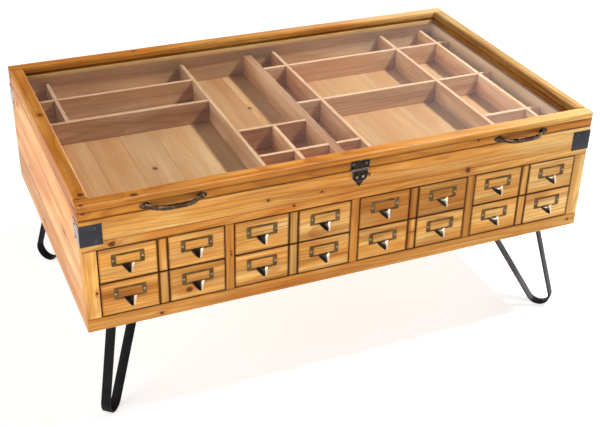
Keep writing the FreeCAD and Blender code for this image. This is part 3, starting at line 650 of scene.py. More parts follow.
mb = Mesh()
board(mb, -HX, HX, F0, F1, Z0 + 162.2, Z0 + 178.2, "x", r=0.5,
      tone=((-480.0, 0.79, 0.68), (-200.0, 0.89, 0.2), (0.0, 0.74, 1.1), (200.0, 0.76, 0.98),
            (330.0, 1.05, -0.7), (480.0, 1.18, -1.6)),
      dark=0.55, gap=1.2, knots=[(-448.0, -1.0, 4.6), (-121.0, 3.0, 2.6), (231.0, 4.0, 4.0)],
      step=45.0,
      light=("x0", "x1"))
mb.build("front_drawer_rail", [PINE], "case", "pine", ["front_drawer_rail"])

mb = Mesh()
board(mb, -HX, HX, F0, F1, Z0 + 178.2, RIM, "x", r=0.7, dark=0.45, gap=1.2,
      tone=((-480.0, 0.80, -0.05), (-200.0, 1.10, -0.5), (0.0, 0.83, 0.5), (200.0, 0.80, 0.58),
            (380.0, 0.88, 0.0), (480.0, 0.92, -0.3)),
      knots=[(-170.0, -5.0, 2.6), (-68.0, -9.0, 1.9), (231.0, -21.0, 3.0)], step=45.0,
      light=("x0", "x1"))
mb.build("front_apron", [PINE], "case", "pine", ["front_apron"])

mb = Mesh()
for x0, x1 in ((-HX, -IN_X), (IN_X, HX)):
    board(mb, x0, x1, F0, F1, Z0 + 26.0, Z0 + 162.2, "z", r=0.8, dark=0.6, gap=1.2,
          tone=(1.02, 0.0) if x0 < 0 else (1.09, -1.6),
          knots=[(-17.0, 7.8, 2.2)] if x0 < 0 else (),
          light=("x0",) if x0 < 0 else ("x1",))
mb.build("front_stiles", [PINE], "case", "pine", ["front_stiles"])

mb = Mesh()
for i in range(3):
    px = bay_x(i) + BAY
    board(mb, px, px + 16.0, F0, F1, Z0 + 26.0, Z0 + 162.2, "z", r=0.8, dark=0.75, gap=1.2,
          tone=((0.62, 1.0), (0.72, 0.65), (0.60, 0.85))[i],
          knots=((12.0, 2.0, 1.6), (5.0, 2.6, 1.8)) if i == 0 else ())
mb.build("front_posts", [PINE], "case", "pine", ["front_posts"])

mb = Mesh()
for i in range(3):
    px = bay_x(i) + BAY
    board(mb, px, px + 16.0, F1, IN_Y, Z0 + 12.0, Z0 + 155.0, "y", r=0.4, dark=0.4,
          tone=(0.95, 0.1), step=90.0)
mb.build("drawer_partitions", [RAW], "case", "raw_pine", ["drawer_partitions"])

mb = Mesh()
for i in range(4):
    bx = bay_x(i)
    for z0, z1 in ((Z0 + 12.0, Z0 + 27.2), (Z0 + 84.8, Z0 + 94.8)):
        for a in (bx, bx + BAY - 12.0):
            board(mb, a, a + 12.0, F1 + 0.5, IN_Y, z0, z1, "y", r=0.6, dark=0.4,
                  step=120.0)
mb.build("drawer_runners", [RAW], "case", "raw_pine", ["drawer_runners"])

mb = Mesh()
for s in (-1, 1):
    x0, x1 = (-SIDE_X, -IN_X) if s < 0 else (IN_X, SIDE_X)
    # the liners' tone is raised: painted light on the right-hand wall of the well
    board(mb, x0, x1, F1, IN_Y, Z0 + 12.0, RIM, "y", r=0.6, dark=0.3,
          tone=(1.12, -0.12), step=70.0)
mb.build("side_liners", [RAW], "case", "raw_pine", ["side_liners"])

# ------------------------------------------------------------- display well
mb = Mesh()
edges = [-474.5, -398.0, -331.0, -262.0, -184.0, -120.0, -47.0, 28.0, 96.0, 178.0,
         247.0, 331.0, 402.0, 474.5]
plank_knots = {2: [(-63.0, -6.0, 4.6)], 6: [(120.0, -34.5, 4.6)]}
for k in range(len(edges) - 1):
    board(mb, edges[k], edges[k + 1], F1, IN_Y, DZ0 - 6.0, DZ0, "y", r=0.3, dark=0.28,
          tone=(1.0 + 0.055 * math.sin(k * 2.3),
                (0.08 if k < 11 else -0.35) + 0.16 * math.sin(k * 1.7)),
          knots=plank_knots.get(k, ()), inset=1.4, step=90.0)
mb.build("well_floor", [FLOORW], "case", "raw_pine", ["well_floor"])

X1, X2, X7, X3, X4, X5, X6 = -428.0, -138.5, -62.0, 13.0, 74.0, 342.0, 445.0
YA, YB, YE, YD = 200.0, 93.0, -58.0, -168.0
YHA, YHB, YHC = 203.0, 19.0, -166.0


def slat(mb, x0, x1, y0, y1, grain, crossings=(), low=False, tone=(1.0, 0.0),
         top=1.0, last=1.0):
    """A thin divider. Where it crosses another it is halved and lapped."""
    stops = sorted(crossings)
    a, b = (x0, x1) if grain == "x" else (y0, y1)
    zm = (DZ0 + DZ1) / 2.0
    SEED[0] += 1
    keep = SEED[0]
    parts = []
    at = a
    for c in stops:
        parts.append((at, c - 4.1, DZ0, DZ1))
        parts.append((c - 4.1, c + 4.1, DZ0, zm) if low else (c - 4.1, c + 4.1, zm, DZ1))
        at = c + 4.1
    parts.append((at, b, DZ0, DZ1))
    rng = random.Random(keep * 131)
    w = 0.0465
    pith = (rng.uniform(-0.6, 0.6) * w, rng.choice((-1, 1)) * rng.uniform(0.012, 0.05),
            rng.uniform(-0.02, 0.02), rng.uniform(-0.03, 0.03))
    uo, sd = rng.uniform(1, 9), rng.random()
    c0 = np.array([(x0 + x1) / 2, (y0 + y1) / 2, (DZ0 + DZ1) / 2])
    tb = tone[0] * rng.uniform(0.97, 1.03)
    tw = tone[1] + rng.uniform(-0.08, 0.08)
    for p, q, za, zb in parts:
        if grain == "x":
            v, f, e, _ = rounded_box(p, q, y0, y1, za, zb, 1.15, 3, 1.6, 60.0)
            uvw = np.stack([v[:, 0] - c0[0], v[:, 2] - c0[2], v[:, 1] - c0[1]], 1) * 0.001
        else:
            v, f, e, _ = rounded_box(x0, x1, p, q, za, zb, 1.15, 3, 1.6, 60.0)
            uvw = np.stack([v[:, 1] - c0[1], v[:, 2] - c0[2], v[:, 0] - c0[0]], 1) * 0.001
        bc = uvw + np.array([uo, -pith[0], -pith[1]])
        # the top face takes the pale colour by top: painted light on the upward face
        e = np.where(v[:, 2] > DZ1 - 0.2, -top, e * 0.3)
        # last brightens the end piece: painted light in the narrow right-hand cells
        gb = last if p == parts[-1][0] else 1.0
        mb.add(v, f, 0, edge=e, bc=bc, bp=(pith[2], pith[3], sd), tone=(tb * gb, tw, uo))


mb = Mesh()
# the top arrises take the pale colour: a painted highlight along the edges
board(mb, X3 - 8, X3 + 8, F1, IN_Y, DZ0, DZ1, "y", r=0.9, tone=(0.98, 0.1), dark=0.5,
      step=60.0, pale=("z1", 0.85, "arris"), face=("z1", 1))
mb.build("well_divider_main", [DIVW, DIVT], "case", "raw_pine", ["well_divider_main"])

mb = Mesh()
slat(mb, X1 - 4, X1 + 4, YB + 4, IN_Y, "y", [YA], low=True, tone=(0.66, -0.6), top=0.6)
slat(mb, X2 - 4, X2 + 4, F1, IN_Y, "y", tone=(0.91, 0.1), top=0.22)
slat(mb, X7 - 4, X7 + 4, F1, YE - 4, "y", [YD], low=True, tone=(1.18, -0.05), top=0.7)
slat(mb, X4 - 4, X4 + 4, F1, IN_Y, "y", [YHA, YHB], low=True, tone=(0.94, 0.0), top=0.75)
slat(mb, X5 - 4, X5 + 4, F1, IN_Y, "y", [YHA, YHB], low=True, tone=(1.0, -0.1), top=0.8)
# this divider's tone is raised: painted light on its left face
slat(mb, X6 - 4, X6 + 4, F1, IN_Y, "y", [YHA, YHB, YHC], low=True, tone=(1.20, -0.4),
     top=0.2)
mb.build("well_dividers_long", [DIVW], "case", "raw_pine", ["well_dividers_long"])

mb = Mesh()
slat(mb, -IN_X, X2 - 4, YA - 4, YA + 4, "x", [X1], tone=(0.93, -0.15), top=0.7)
slat(mb, -IN_X, X2 - 4, YB - 4, YB + 4, "x", tone=(0.75, 0.0), top=0.7)
slat(mb, X2 + 4, X3 - 8, YE - 4, YE + 4, "x", tone=(0.82, -0.1), top=0.8)
slat(mb, X2 + 4, X3 - 8, YD - 4, YD + 4, "x", [X7], tone=(1.22, 0.3), top=0.9)
slat(mb, X3 + 8, X4 - 4, YD - 4, YD + 4, "x", tone=(1.20, 0.3), top=0.9)
# last paints the end pieces by the right wall brighter: painted light
slat(mb, X3 + 8, IN_X, YHA - 4, YHA + 4, "x", [X4, X5, X6], tone=(1.03, -0.3), last=1.4)
slat(mb, X3 + 8, IN_X, YHB - 4, YHB + 4, "x", [X4, X5, X6], tone=(0.95, -0.2), last=1.6)
slat(mb, X5 + 4, IN_X, YHC - 4, YHC + 4, "x", [X6], tone=(1.30, -1.3), last=1.8)
mb.build("well_dividers_cross", [DIVW], "case", "raw_pine", ["well_dividers_cross"])


# ------------------------------------------------------------- round pieces
def revolve(profile, n, origin, axis):
    """Profile of (radius, height) turned about an axis; ends may close at 0."""
    axis = Vector(axis).normalized()
    ref = Vector((0, 0, 1)) if abs(axis.z) < 0.9 else Vector((1, 0, 0))
    e1 = axis.cross(ref).normalized()
    e2 = axis.cross(e1).normalized()
    verts, rows = [], []
    for (r, h) in profile:
        if r < 1e-6:
            rows.append([len(verts)])
            verts.append(Vector(origin) + axis * h)
        else:
            row = []
            for k in range(n):
                a = 2 * math.pi * k / n
                row.append(len(verts))
                verts.append(Vector(origin) + axis * h +
                             e1 * (r * math.cos(a)) + e2 * (r * math.sin(a)))
            rows.append(row)
    faces = []
    for a, b in zip(rows, rows[1:]):
        if len(a) == 1 and len(b) == 1:
            continue
        for k in range(n):
            j = (k + 1) % n
            if len(a) == 1:
                faces.append([a[0], b[j], b[k]])
            elif len(b) == 1:
                faces.append([a[k], a[j], b[0]])
            else:
                faces.append([a[k], a[j], b[j], b[k]])
    v = np.array([list(p) for p in verts])
    # outward winding
    c = v.mean(0)
    vol = 0.0
    for f in faces:
        p = v[f] - c
        for k in range(1, len(f) - 1):
            vol += np.dot(p[0], np.cross(p[k], p[k + 1]))
    if vol < 0:
        faces = [f[::-1] for f in faces]
    return v, faces


def dome(mb, radius, height, origin, axis, n=20, mat=0):
    ball = (radius * radius + height * height) / (2 * height)
    prof = [(0.0, -0.3), (radius * 0.98, -0.3), (radius, 0.0)]
    for k in range(1, 6):
        a = (1 - k / 5.0)
        r = radius * math.sin(a * math.pi / 2) if a > 0 else 0.0
        h = height - ball + math.sqrt(max(ball * ball - r * r, 0.0))
        prof.append((r, h))
    v, f = revolve(prof, n, origin, axis)
    mb.add(v, f, mat)


def slotted_screw(mb, radius, height, origin, axis, angle=0.5, mat=0, n=24):
    """Round head with a real slot: two half domes either side of a cut."""
    axis = Vector(axis).normalized()
    ref = Vector((0, 0, 1)) if abs(axis.z) < 0.9 else Vector((1, 0, 0))
    e1 = axis.cross(ref).normalized()
    e2 = axis.cross(e1).normalized()
    d = e1 * math.cos(angle) + e2 * math.sin(angle)
    s = axis.cross(d)
    o = Vector(origin)
    half = radius * 0.13
    ball = (radius * radius + height * height) / (2 * height)

    def top(a, b):
        rr = min(a * a + b * b, radius * radius)
        return height - ball + math.sqrt(ball * ball - rr)

    for sg in (-1, 1):
        verts, rows = [], []
        m = 6
        for i in range(m + 1):
            b = half + (radius - half) * i / m
            w = math.sqrt(max(radius * radius - b * b, 0.0))
            row = []
            for j in range(9):
                a = -w + 2 * w * j / 8
                row.append(len(verts))
                verts.append(o + d * a + s * (b * sg) + axis * top(a, b))
            rows.append(row)
        base = []
        for i in range(m + 1):
            row = []
            for j in range(9):
                p = verts[rows[i][j]] - o
                a, b = p.dot(d), p.dot(s)
                row.append(len(verts))
                verts.append(o + d * a + s * b - axis * 0.3)
            base.append(row)
        faces = []
        for i in range(m):
            for j in range(8):
                q = [rows[i][j], rows[i][j + 1], rows[i + 1][j + 1], rows[i + 1][j]]
                t = [base[i][j], base[i + 1][j], base[i + 1][j + 1], base[i][j + 1]]
                faces += [q, t]
        for j in range(8):
            faces.append([rows[0][j], base[0][j], base[0][j + 1], rows[0][j + 1]])
        for i in range(m):
            faces.append([rows[i][0], rows[i + 1][0], base[i + 1][0], base[i][0]])
            faces.append([rows[i][8], base[i][8], base[i + 1][8], rows[i + 1][8]])
        v = np.array([list(p) for p in verts])
        c = v.mean(0)
        vol = 0.0
        for f in faces:
            p = v[f] - c
            for k in range(1, len(f) - 1):
                vol += np.dot(p[0], np.cross(p[k], p[k + 1]))
        if vol < 0:
            faces = [f[::-1] for f in faces]
        mb.add(v, faces, mat)
    v, f = revolve([(0.0, -0.3), (radius * 0.97, -0.3), (radius * 0.97, height * 0.28),
                    (0.0, height * 0.28)], n, origin, axis)
    mb.add(v, f, mat)


def plate_xz(mb, poly, y_back, thick, r=0.4, mat=0, dish=0.0):
    """Sheet with an outline in XZ standing off towards -Y, edges rounded."""
    p = np.array(poly, float)
    n = len(p)
    area = 0.5 * np.sum(p[:, 0] * np.roll(p[:, 1], -1) - np.roll(p[:, 0], -1) * p[:, 1])
    if area < 0:
        p = p[::-1]
    e = np.roll(p, -1, 0) - p
    e /= np.linalg.norm(e, axis=1)[:, None]
    nr = np.stack([e[:, 1], -e[:, 0]], 1)
    vn = nr + np.roll(nr, 1, 0)
    vn /= np.maximum(np.linalg.norm(vn, axis=1)[:, None], 0.35)
    rings = [(0.0, 0.0)]
    rings.append((0.0, thick - r))
    for k in range(1, 4):
        a = math.radians(90 * k / 3)
        rings.append((r * (1 - math.cos(a)), thick - r + r * math.sin(a)))
    rings.append((r + 0.8, thick))
    verts, faces = [], []
    for off, h in rings:
        q = p - vn * off
        for (x, z) in q:
            verts.append((x, y_back - h, z))
    for k in range(len(rings) - 1):
        for i in range(n):
            j = (i + 1) % n
            faces.append([k * n + i, k * n + j, (k + 1) * n + j, (k + 1) * n + i])
    faces.append([i for i in range(n)][::-1])
    faces.append([(len(rings) - 1) * n + i for i in range(n)])
    mb.add(verts, faces, mat)


# ------------------------------------------------------------ corner brackets
mb = Mesh()
nails = Mesh()
BZ0, BZ1 = Z0 + 173.0, Z0 + 213.0
for sx in (-1, 1):
    for sy in (-1, 1):
        ox, oy = sx * HX, sy * HY
        # bent sheet: section in XY swept up in Z, with a rounded bend
        t, w, rb = 1.2, 38.0, 1.6
        outer, inner = [], []
        outer.append((-w, t))
        for k in range(7):
            a = math.radians(90 - 15 * k)
            outer.append((t - rb + rb * math.cos(a), t - rb + rb * math.sin(a)))
        outer.append((t, -w))
        inner = [(0.0, -w), (0.0, 0.0), (-w, 0.0)]
        sec = outer + inner
        verts, faces = [], []
        zs = [BZ0, BZ0 + 0.5, BZ1 - 0.5, BZ1]
        n = len(sec)
        cx = sum(q[0] for q in sec) / n
        for z in zs:
            sh = 0.35 if z in (BZ0, BZ1) else 0.0
            for i, (a, b) in enumerate(sec):
                aa, bb = a, b
                if i < len(outer):
                    if i == 0:
                        aa, bb = a + sh, b - sh
                    elif i == len(outer) - 1:
                        aa, bb = a - sh, b + sh
                    else:
                        aa, bb = a - sh * 0.7, b - sh * 0.7
                verts.append((ox + sx * aa, oy + sy * bb, z))
        fm = []
        for k in range(len(zs) - 1):
            for i in range(n):
                j = (i + 1) % n
                faces.append([k * n + i, k * n + j, (k + 1) * n + j, (k + 1) * n + i])
                # the side flaps of the left-hand brackets take the pale metal, a painted reflection
                fm.append(1 if 5 <= i <= 8 and sx < 0 else 0)
        faces.append(list(range(n))[::-1])
        faces.append([(len(zs) - 1) * n + i for i in range(n)])
        fm += [0, 0]
        v = np.array(verts)
        c = v.mean(0)
        vol = 0.0
        for f in faces:
            p = v[f] - c
            for k in range(1, len(f) - 1):
                vol += np.dot(p[0], np.cross(p[k], p[k + 1]))
        if vol < 0:
            faces = [f[::-1] for f in faces]
        mb.add(v, faces, fm)
        for dz in (-12.5, 12.5):
            zc = (BZ0 + BZ1) / 2.0 + dz
            dome(nails, 2.3, 1.3, (ox - sx * 26.0, oy + sy * 1.2, zc), (0, sy, 0))
            dome(nails, 2.3, 1.3, (ox + sx * 1.2, oy - sy * 26.0, zc), (sx, 0, 0))
mb.build("corner_brackets", [BRKT, BFLAP_REFLECT], "case", "bracket_steel", ["corner_brackets"],
         wood=False, angle=35.0)
nails.build("bracket_nails", [BNAIL], "case", "nail_steel", ["bracket_nails"], wood=False)


# ------------------------------------------------------------------ the legs
def sweep(path, normals, width_dir, widths, thicks, closed_r=0.6):
    """Rounded-rectangle section carried along a path of points."""
    verts, faces = [], []
    sec_n = 0
    for p, nrm, w, t in zip(path, normals, widths, thicks):
        r = min(closed_r, t * 0.45, w * 0.45)
        sec = []
        for cx, cy, a0 in ((w / 2 - r, t / 2 - r, 0), (-w / 2 + r, t / 2 - r, 90),
                           (-w / 2 + r, -t / 2 + r, 180), (w / 2 - r, -t / 2 + r, 270)):
            for k in range(4):
                a = math.radians(a0 + 30 * k)
                sec.append((cx + r * math.cos(a), cy + r * math.sin(a)))
        sec_n = len(sec)
        for (a, b) in sec:
            q = Vector(p) + Vector(width_dir) * a + Vector(nrm) * b
            verts.append(tuple(q))
    m = len(path)
    for k in range(m - 1):
        for i in range(sec_n):
            j = (i + 1) % sec_n
            faces.append([k * sec_n + i, k * sec_n + j,
                          (k + 1) * sec_n + j, (k + 1) * sec_n + i])
    faces.append(list(range(sec_n))[::-1])
    faces.append([(m - 1) * sec_n + i for i in range(sec_n)])
    v = np.array(verts)
    f0 = faces[0]
    # winding test against the section's own centre
    ctr = v[:sec_n].mean(0)
    p = v[f0]
    nn = np.cross(p[1] - p[0], p[2] - p[0])
    if np.dot(nn, p.mean(0) - ctr) < 0:
        faces = [f[::-1] for f in faces]
    return v, faces


LEG_R, BAR_T, FLAT = 24.1, 4.0, 0.5
LEG_OUT, LEG_IN, LEG_ANG = -31.6, -164.9, 50.9
PLATE_T, PLATE_W = 3.0, 54.0
screws = Mesh()
for (sx, sy), nm in {(-1, -1): "leg_front_left", (1, -1): "leg_front_right",
                     (-1, 1): "leg_rear_left", (1, 1): "leg_rear_right"}.items():
    cz = LEG_R + BAR_T / 2 - FLAT
    top = Z0 - PLATE_T

    def tangent(px, side):
        dx, dz = px, top - cz
        d = math.hypot(dx, dz)
        a, b = math.atan2(dz, dx), math.acos(LEG_R / d)
        return a - b if side > 0 else a + b

    ts = tangent(LEG_OUT, 1)
    te = tangent(LEG_IN, -1) - 2 * math.pi
    path, nrm = [], []
    p0 = (LEG_R * math.cos(ts), cz + LEG_R * math.sin(ts))
    p1 = (LEG_R * math.cos(te), cz + LEG_R * math.sin(te))
    for k in range(9):
        t = k / 8.0
        path.append((LEG_OUT + (p0[0] - LEG_OUT) * t, top + (p0[1] - top) * t))
        nrm.append((math.cos(ts), math.sin(ts)))
    for k in range(1, 32):
        a = ts + (te - ts) * k / 32.0
        path.append((LEG_R * math.cos(a), cz + LEG_R * math.sin(a)))
        nrm.append((math.cos(a), math.sin(a)))
    for k in range(9):
        t = k / 8.0
        path.append((p1[0] + (LEG_IN - p1[0]) * t, p1[1] + (top - p1[1]) * t))
        nrm.append((math.cos(te), math.sin(te)))
    ang = math.atan2(sy * math.sin(math.radians(LEG_ANG)),
                     sx * math.cos(math.radians(LEG_ANG)))
    ca, sa = math.cos(ang), math.sin(ang)

    def world(s, z, w=0.0):
        return (sx * 464.4 + s * ca - w * sa, sy * 272.2 + s * sa + w * ca, z)

    pts = [world(s, z) for s, z in path]
    nr = [(a * ca, a * sa, b) for a, b in nrm]
    v, f = sweep(pts, nr, (-sa, ca, 0.0), [18.0] * len(pts), [BAR_T] * len(pts), 0.7)
    v[:, 2] = np.clip(v[:, 2], 0.0, top)
    # one leg gets a painted reflection, paler on the sides of the bars that look up
    bar = [b * min(1.0, max(0.0, 1.0 - (min(k, 48 - k) - 9) / 5.0))
           for k, (_, b) in enumerate(nrm)]
    up = np.repeat(np.array(bar), 16) * np.tile([1] * 8 + [-1] * 8, len(nrm))
    mb = Mesh()
    mb.add(v, f, edge=np.clip(up * 2.2, 0.0, 1.0) if nm == "leg_front_right" else 0.0)
    # mounting plate with rounded corners and weld beads at both runs
    s0, s1 = LEG_IN - 16.0, LEG_OUT + 14.0
    rc = 6.0
    out = []
    for cx, cy, a0 in ((s1 - rc, PLATE_W / 2 - rc, 0), (s0 + rc, PLATE_W / 2 - rc, 90),
                       (s0 + rc, -PLATE_W / 2 + rc, 180), (s1 - rc, -PLATE_W / 2 + rc, 270)):
        for k in range(7):
            a = math.radians(a0 + 15 * k)
            out.append((cx + rc * math.cos(a), cy + rc * math.sin(a)))
    n = len(out)
    verts, faces = [], []
    ctr = ((s0 + s1) / 2, 0.0)
    for z, sh in ((Z0 - PLATE_T, 0.4), (Z0 - PLATE_T + 0.4, 0.0), (Z0, 0.0)):
        for a, b in out:
            k = 1.0 - sh / 30.0
            verts.append(world(ctr[0] + (a - ctr[0]) * k, z, b * k))
    for k in range(2):
        for i in range(n):
            j = (i + 1) % n
            faces.append([k * n + i, k * n + j, (k + 1) * n + j, (k + 1) * n + i])
    faces.append(list(range(n))[::-1])
    faces.append([2 * n + i for i in range(n)])
    mb.add(verts, faces)
    for s_top, c in ((LEG_OUT, ts), (LEG_IN, te)):
        for side in (-1, 1):
            off = side * (BAR_T / 2 + 1.0)
            bead = []
            for k in range(13):
                w = -8.5 + 17.0 * k / 12
                bead.append(world(s_top + off, top - 0.9, w))
            rad = [1.5 + 0.25 * math.sin(k * 2.4) for k in range(13)]
            vv, ff = [], []
            for p, r in zip(bead, rad):
                for q in range(8):
                    a = math.pi * 2 * q / 8
                    vv.append((p[0] + ca * r * math.cos(a), p[1] + sa * r * math.cos(a),
                               min(p[2] + r * math.sin(a), top + 0.4)))
            for k in range(12):
                for q in range(8):
                    j = (q + 1) % 8
                    ff.append([k * 8 + q, k * 8 + j, (k + 1) * 8 + j, (k + 1) * 8 + q])
            ff.append(list(range(8))[::-1])
            ff.append([96 + q for q in range(8)])
            mb.add(vv, ff)
    mb.build(nm, [BLACK], "case", "black_steel", [nm], angle=45.0)
    for s in (s0 + 10.0, s1 - 10.0):
        for w in (-PLATE_W / 2 + 10.0, PLATE_W / 2 - 10.0):
            slotted_screw(screws, 4.5, 1.6, world(s, Z0 - PLATE_T, w), (0, 0, -1),
                          angle=s * 0.37 + w)
screws.build("leg_screws", [BLACK], "case", "black_steel", ["leg_screws"])


# ------------------------------------------------------------------- drawers
def pull_frame(mb, xc, zc):
    """Stamped label frame: rounded outline, raised lip round the window."""
    hw, hh, rc = 29.0, 12.0, 2.2
    iw, ih, ri = 20.4, 8.3, 0.8
    loops = []

    def rr(w, h, r):
        pts = []
        for cx, cy, a0 in ((w - r, h - r, 0), (-w + r, h - r, 90),
                           (-w + r, -h + r, 180), (w - r, -h + r, 270)):
            for k in range(5):
                a = math.radians(a0 + 22.5 * k)
                pts.append((cx + r * math.cos(a), cy + r * math.sin(a)))
        return pts

    o, i = rr(hw, hh, rc), rr(iw, ih, ri)
    prof = [(0.0, 0.0), (0.0, 0.7), (0.04, 1.0), (0.12, 1.15), (0.55, 1.15), (0.68, 1.3),
            (0.80, 1.4), (0.92, 1.35), (1.0, 1.1), (1.0, 0.0)]
    verts, faces = [], []
    n = len(o)
    for t, h in prof:
        for (a, b), (c, d) in zip(o, i):
            verts.append((xc + a + (c - a) * t, -HY - h, zc + b + (d - b) * t))
    m = len(prof)
    for k in range(m):
        k2 = (k + 1) % m
        for q in range(n):
            j = (q + 1) % n
            faces.append([k * n + q, k2 * n + q, k2 * n + j, k * n + j])
    v = np.array(verts)
    # outward: the first strip's normal must point away from the centre
    p = v[faces[0]]
    nn = np.cross(p[1] - p[0], p[2] - p[0])
    if np.dot(nn, p.mean(0) - np.array([xc, -HY, zc])) < 0:
        faces = [f[::-1] for f in faces]
    mb.add(v, faces)


def pull_beak(mb, xc, zt):
    """Finger pull: a tongue that sweeps outwards and narrows to its tip."""
    nt, nu = 14, 26
    L = 10.4

    def ring(t, off):
        a = 12.0 - 5.6 * t ** 1.35 - off
        d = 3.4 + 14.0 * t ** 0.72 - off * 1.25
        pts = []
        for k in range(nu + 1):
            ph = math.pi * k / nu
            c = math.cos(ph)
            s = max(math.sin(ph), 0.0) ** 0.85
            # the lower edge rounds up towards the sides
            rise = 1.6 * t ** 3 * abs(c) ** 2
            z = zt - L * t + rise
            pts.append((xc + math.copysign(a * abs(c) ** 0.85, c), -HY - d * s - 0.02, z))
        return pts

    rows = [ring(k / nt, 0.0) for k in range(nt + 1)]
    tip = [(xc + (p[0] - xc) * 0.95, min(p[1] + 0.5, -HY - 0.02), p[2] - 0.0)
           for p in rows[-1]]
    rows[-1] = [(p[0], p[1], p[2] + 0.35) for p in rows[-1]]
    rows.append(tip)
    rows += [ring(1.0 - k / nt, 1.2) for k in range(nt + 1)]
    verts, faces = [], []
    n = nu + 1
    # a painted highlight band down the right flank, carried as the edge weight
    wear_and_sheen = []
    for k, r in enumerate(rows):
        verts += r
        t = min(k / nt, 1.0)
        for q in range(n):
            deg = 180.0 * q / nu
            hi = 64.0 + 22.0 * t
            w = 1.0 - min(1.0, max(0.0, deg - hi, 34.0 - deg) / 9.0)
            wear_and_sheen.append(w * (1.0 - 0.5 * max(0.0, t - 0.85) / 0.15) if k <= nt else 0.0)
    m = len(rows)
    for k in range(m):
        k2 = (k + 1) % m
        for q in range(nu):
            faces.append([k * n + q, k * n + q + 1, k2 * n + q + 1, k2 * n + q])
    # the two long rims against the drawer front
    faces.append([k * n for k in range(m)])
    faces.append([k * n + nu for k in range(m)][::-1])
    v = np.array(verts)
    p = v[faces[nu // 2]]
    nn = np.cross(p[1] - p[0], p[2] - p[0])
    if nn[1] > 0:
        faces = [f[::-1] for f in faces]
    mb.add(v, faces, 1, edge=np.array(wear_and_sheen))


def drawer(level, i, z0, tone, knots, strip=(), st=(1.0, 0.0)):
    tag = "%s_%d" % (level, i + 1)
    body = "drawer_" + tag
    xc = bay_x(i) + BAY / 2.0
    w = BAY / 2.0 - 1.5
    z1 = z0 + 65.6
    g0, g1 = 8.7 - 1.3, 8.7 + 1.3
    mb = Mesh()
    common = dict(r=0.8, dark=1.15, inset=2.7, step=40.0, gap=1.2)
    # both halves are cut from one board, the strip between is its own
    SEED[0] += 1
    rng = random.Random(SEED[0] * 977)
    pith = (rng.uniform(-0.03, 0.03), rng.choice((-1, 1)) * rng.uniform(0.012, 0.045),
            rng.uniform(-0.03, 0.03), rng.uniform(-0.08, 0.08))
    for (a, b, kn, tn) in ((xc - w, xc - g1, knots[0], tone[:2]),
                           (xc + g1, xc + w, knots[1], tone[2:])):
        board(mb, a, b, -HY, -IN_Y, z0, z1, "x", tone=tn, knots=kn,
              pith=(pith[0] + rng.uniform(-.004, .004), pith[1], pith[2], pith[3]), **common)
    board(mb, xc - g0, xc + g0, -HY, -IN_Y, z0, z1, "z",
          tone=((tone[0] + tone[2]) * 0.46 * st[0],
                (tone[1] + tone[3]) * 0.5 + 0.15 + st[1]),
          knots=strip, **common)
    for s in (-1, 1):
        board(mb, xc + s * 8.7 - 1.3, xc + s * 8.7 + 1.3, -HY + 3.0, -IN_Y, z0 + 0.3,
              z1 - 0.3, "x", r=0.2, seg=1, dark=1.0, mat=1, wave=0.0, step=60.0,
              inset=0.3)
    mb.build("drawer_front_" + tag, [PINE, GROOVE], body, "pine", ["drawer_front_" + tag])

    mb = Mesh()
    wb = BAY / 2.0 - 2.0
    y0, y1 = -HY + 16.0, -HY + 16.0 + 572.0
    t = 9.0
    for a in (xc - wb, xc + wb - t):
        board(mb, a, a + t, y0, y1, z0, z0 + 52.0, "y", r=0.8, tone=(1.0, 0.05),
              step=90.0)
    board(mb, xc - wb + t, xc + wb - t, y1 - t, y1, z0, z0 + 46.0, "x", r=0.6,
          tone=(1.0, 0.05), step=90.0)
    board(mb, xc - wb + t, xc + wb - t, y0, y1 - t, z0 + 6.0, z0 + 10.0, "y", r=0.3,
          tone=(1.05, 0.1), step=110.0)
    mb.build("drawer_box_" + tag, [RAW], body, "raw_pine", ["drawer_box_" + tag])

    mb = Mesh()
    pins = Mesh()
    for s in (-1, 1):
        px = xc + s * 60.6
        zc = z0 + 40.9
        pull_frame(mb, px, zc)
        pull_beak(mb, px, zc - 12.0 + 3.2)
        for q in (-1, 1):
            dome(pins, 2.3, 1.25, (px + q * 25.5, -HY - 1.15, zc), (0, -1, 0), n=16)
    mb.build("drawer_pulls_" + tag, [PULLM, BEAKM], body, "bronze",
             ["drawer_pulls_" + tag], angle=50.0)
    pins.build("drawer_pull_pins_" + tag, [PIN], body, "bronze", wood=False)


def groove_material():
    g = Nodes("groove_dark")
    n, _ = g.noise(g.coord(), 300.0, 3.0, 0.6)
    col = g.mix(n, (0.085, 0.026, 0.004), (0.15, 0.050, 0.009))
    g.principled(Base_Color=col, Roughness=0.8, Specular_IOR_Level=0.04,
                 Normal=g.bump(n, 0.3, 0.0003))
    return g.mat


GROOVE = groove_material()
# brightness and warmth of each drawer's left half, then of its right half
tones = {("upper", 0): (1.14, -0.68, 0.97, -0.32), ("lower", 0): (0.94, 0.02, 0.84, -0.30),
         ("upper", 1): (0.91, -0.30, 0.98, -0.42), ("lower", 1): (1.05, -0.37, 0.95, -0.28),
         ("upper", 2): (0.64, 0.40, 0.60, 0.66), ("lower", 2): (0.98, -0.15, 0.88, -0.05),
         ("upper", 3): (0.79, 0.20, 0.94, -0.85), ("lower", 3): (0.93, -0.02, 1.04, -0.60)}
dk = {("lower", 0): ((), [(-16.0, -16.0, 5.0)])}
sk = {("lower", 2): [(4.5, -6.0, 2.0)]}
# the same for the strip between the halves, as a change from their mean
sts = {("upper", 1): (0.77, 0.4), ("upper", 2): (1.0, -0.1), ("upper", 3): (1.2, -0.38),
       ("lower", 0): (0.86, 0.1), ("lower", 1): (0.70, 0.55), ("lower", 2): (1.25, -0.4),
       ("lower", 3): (1.05, -0.3)}
for i in range(4):
    for lvl, z0 in (("upper", Z0 + 95.1), ("lower", Z0 + 27.5)):
        drawer(lvl, i, z0, tones[(lvl, i)], dk.get((lvl, i), ((), ())), sk.get((lvl, i), ()),
               sts.get((lvl, i), (1.0, 0.0)))

# ----------------------------------------------------------------------- lid
REB = 6.0
GZ0 = LID1 - 4.2


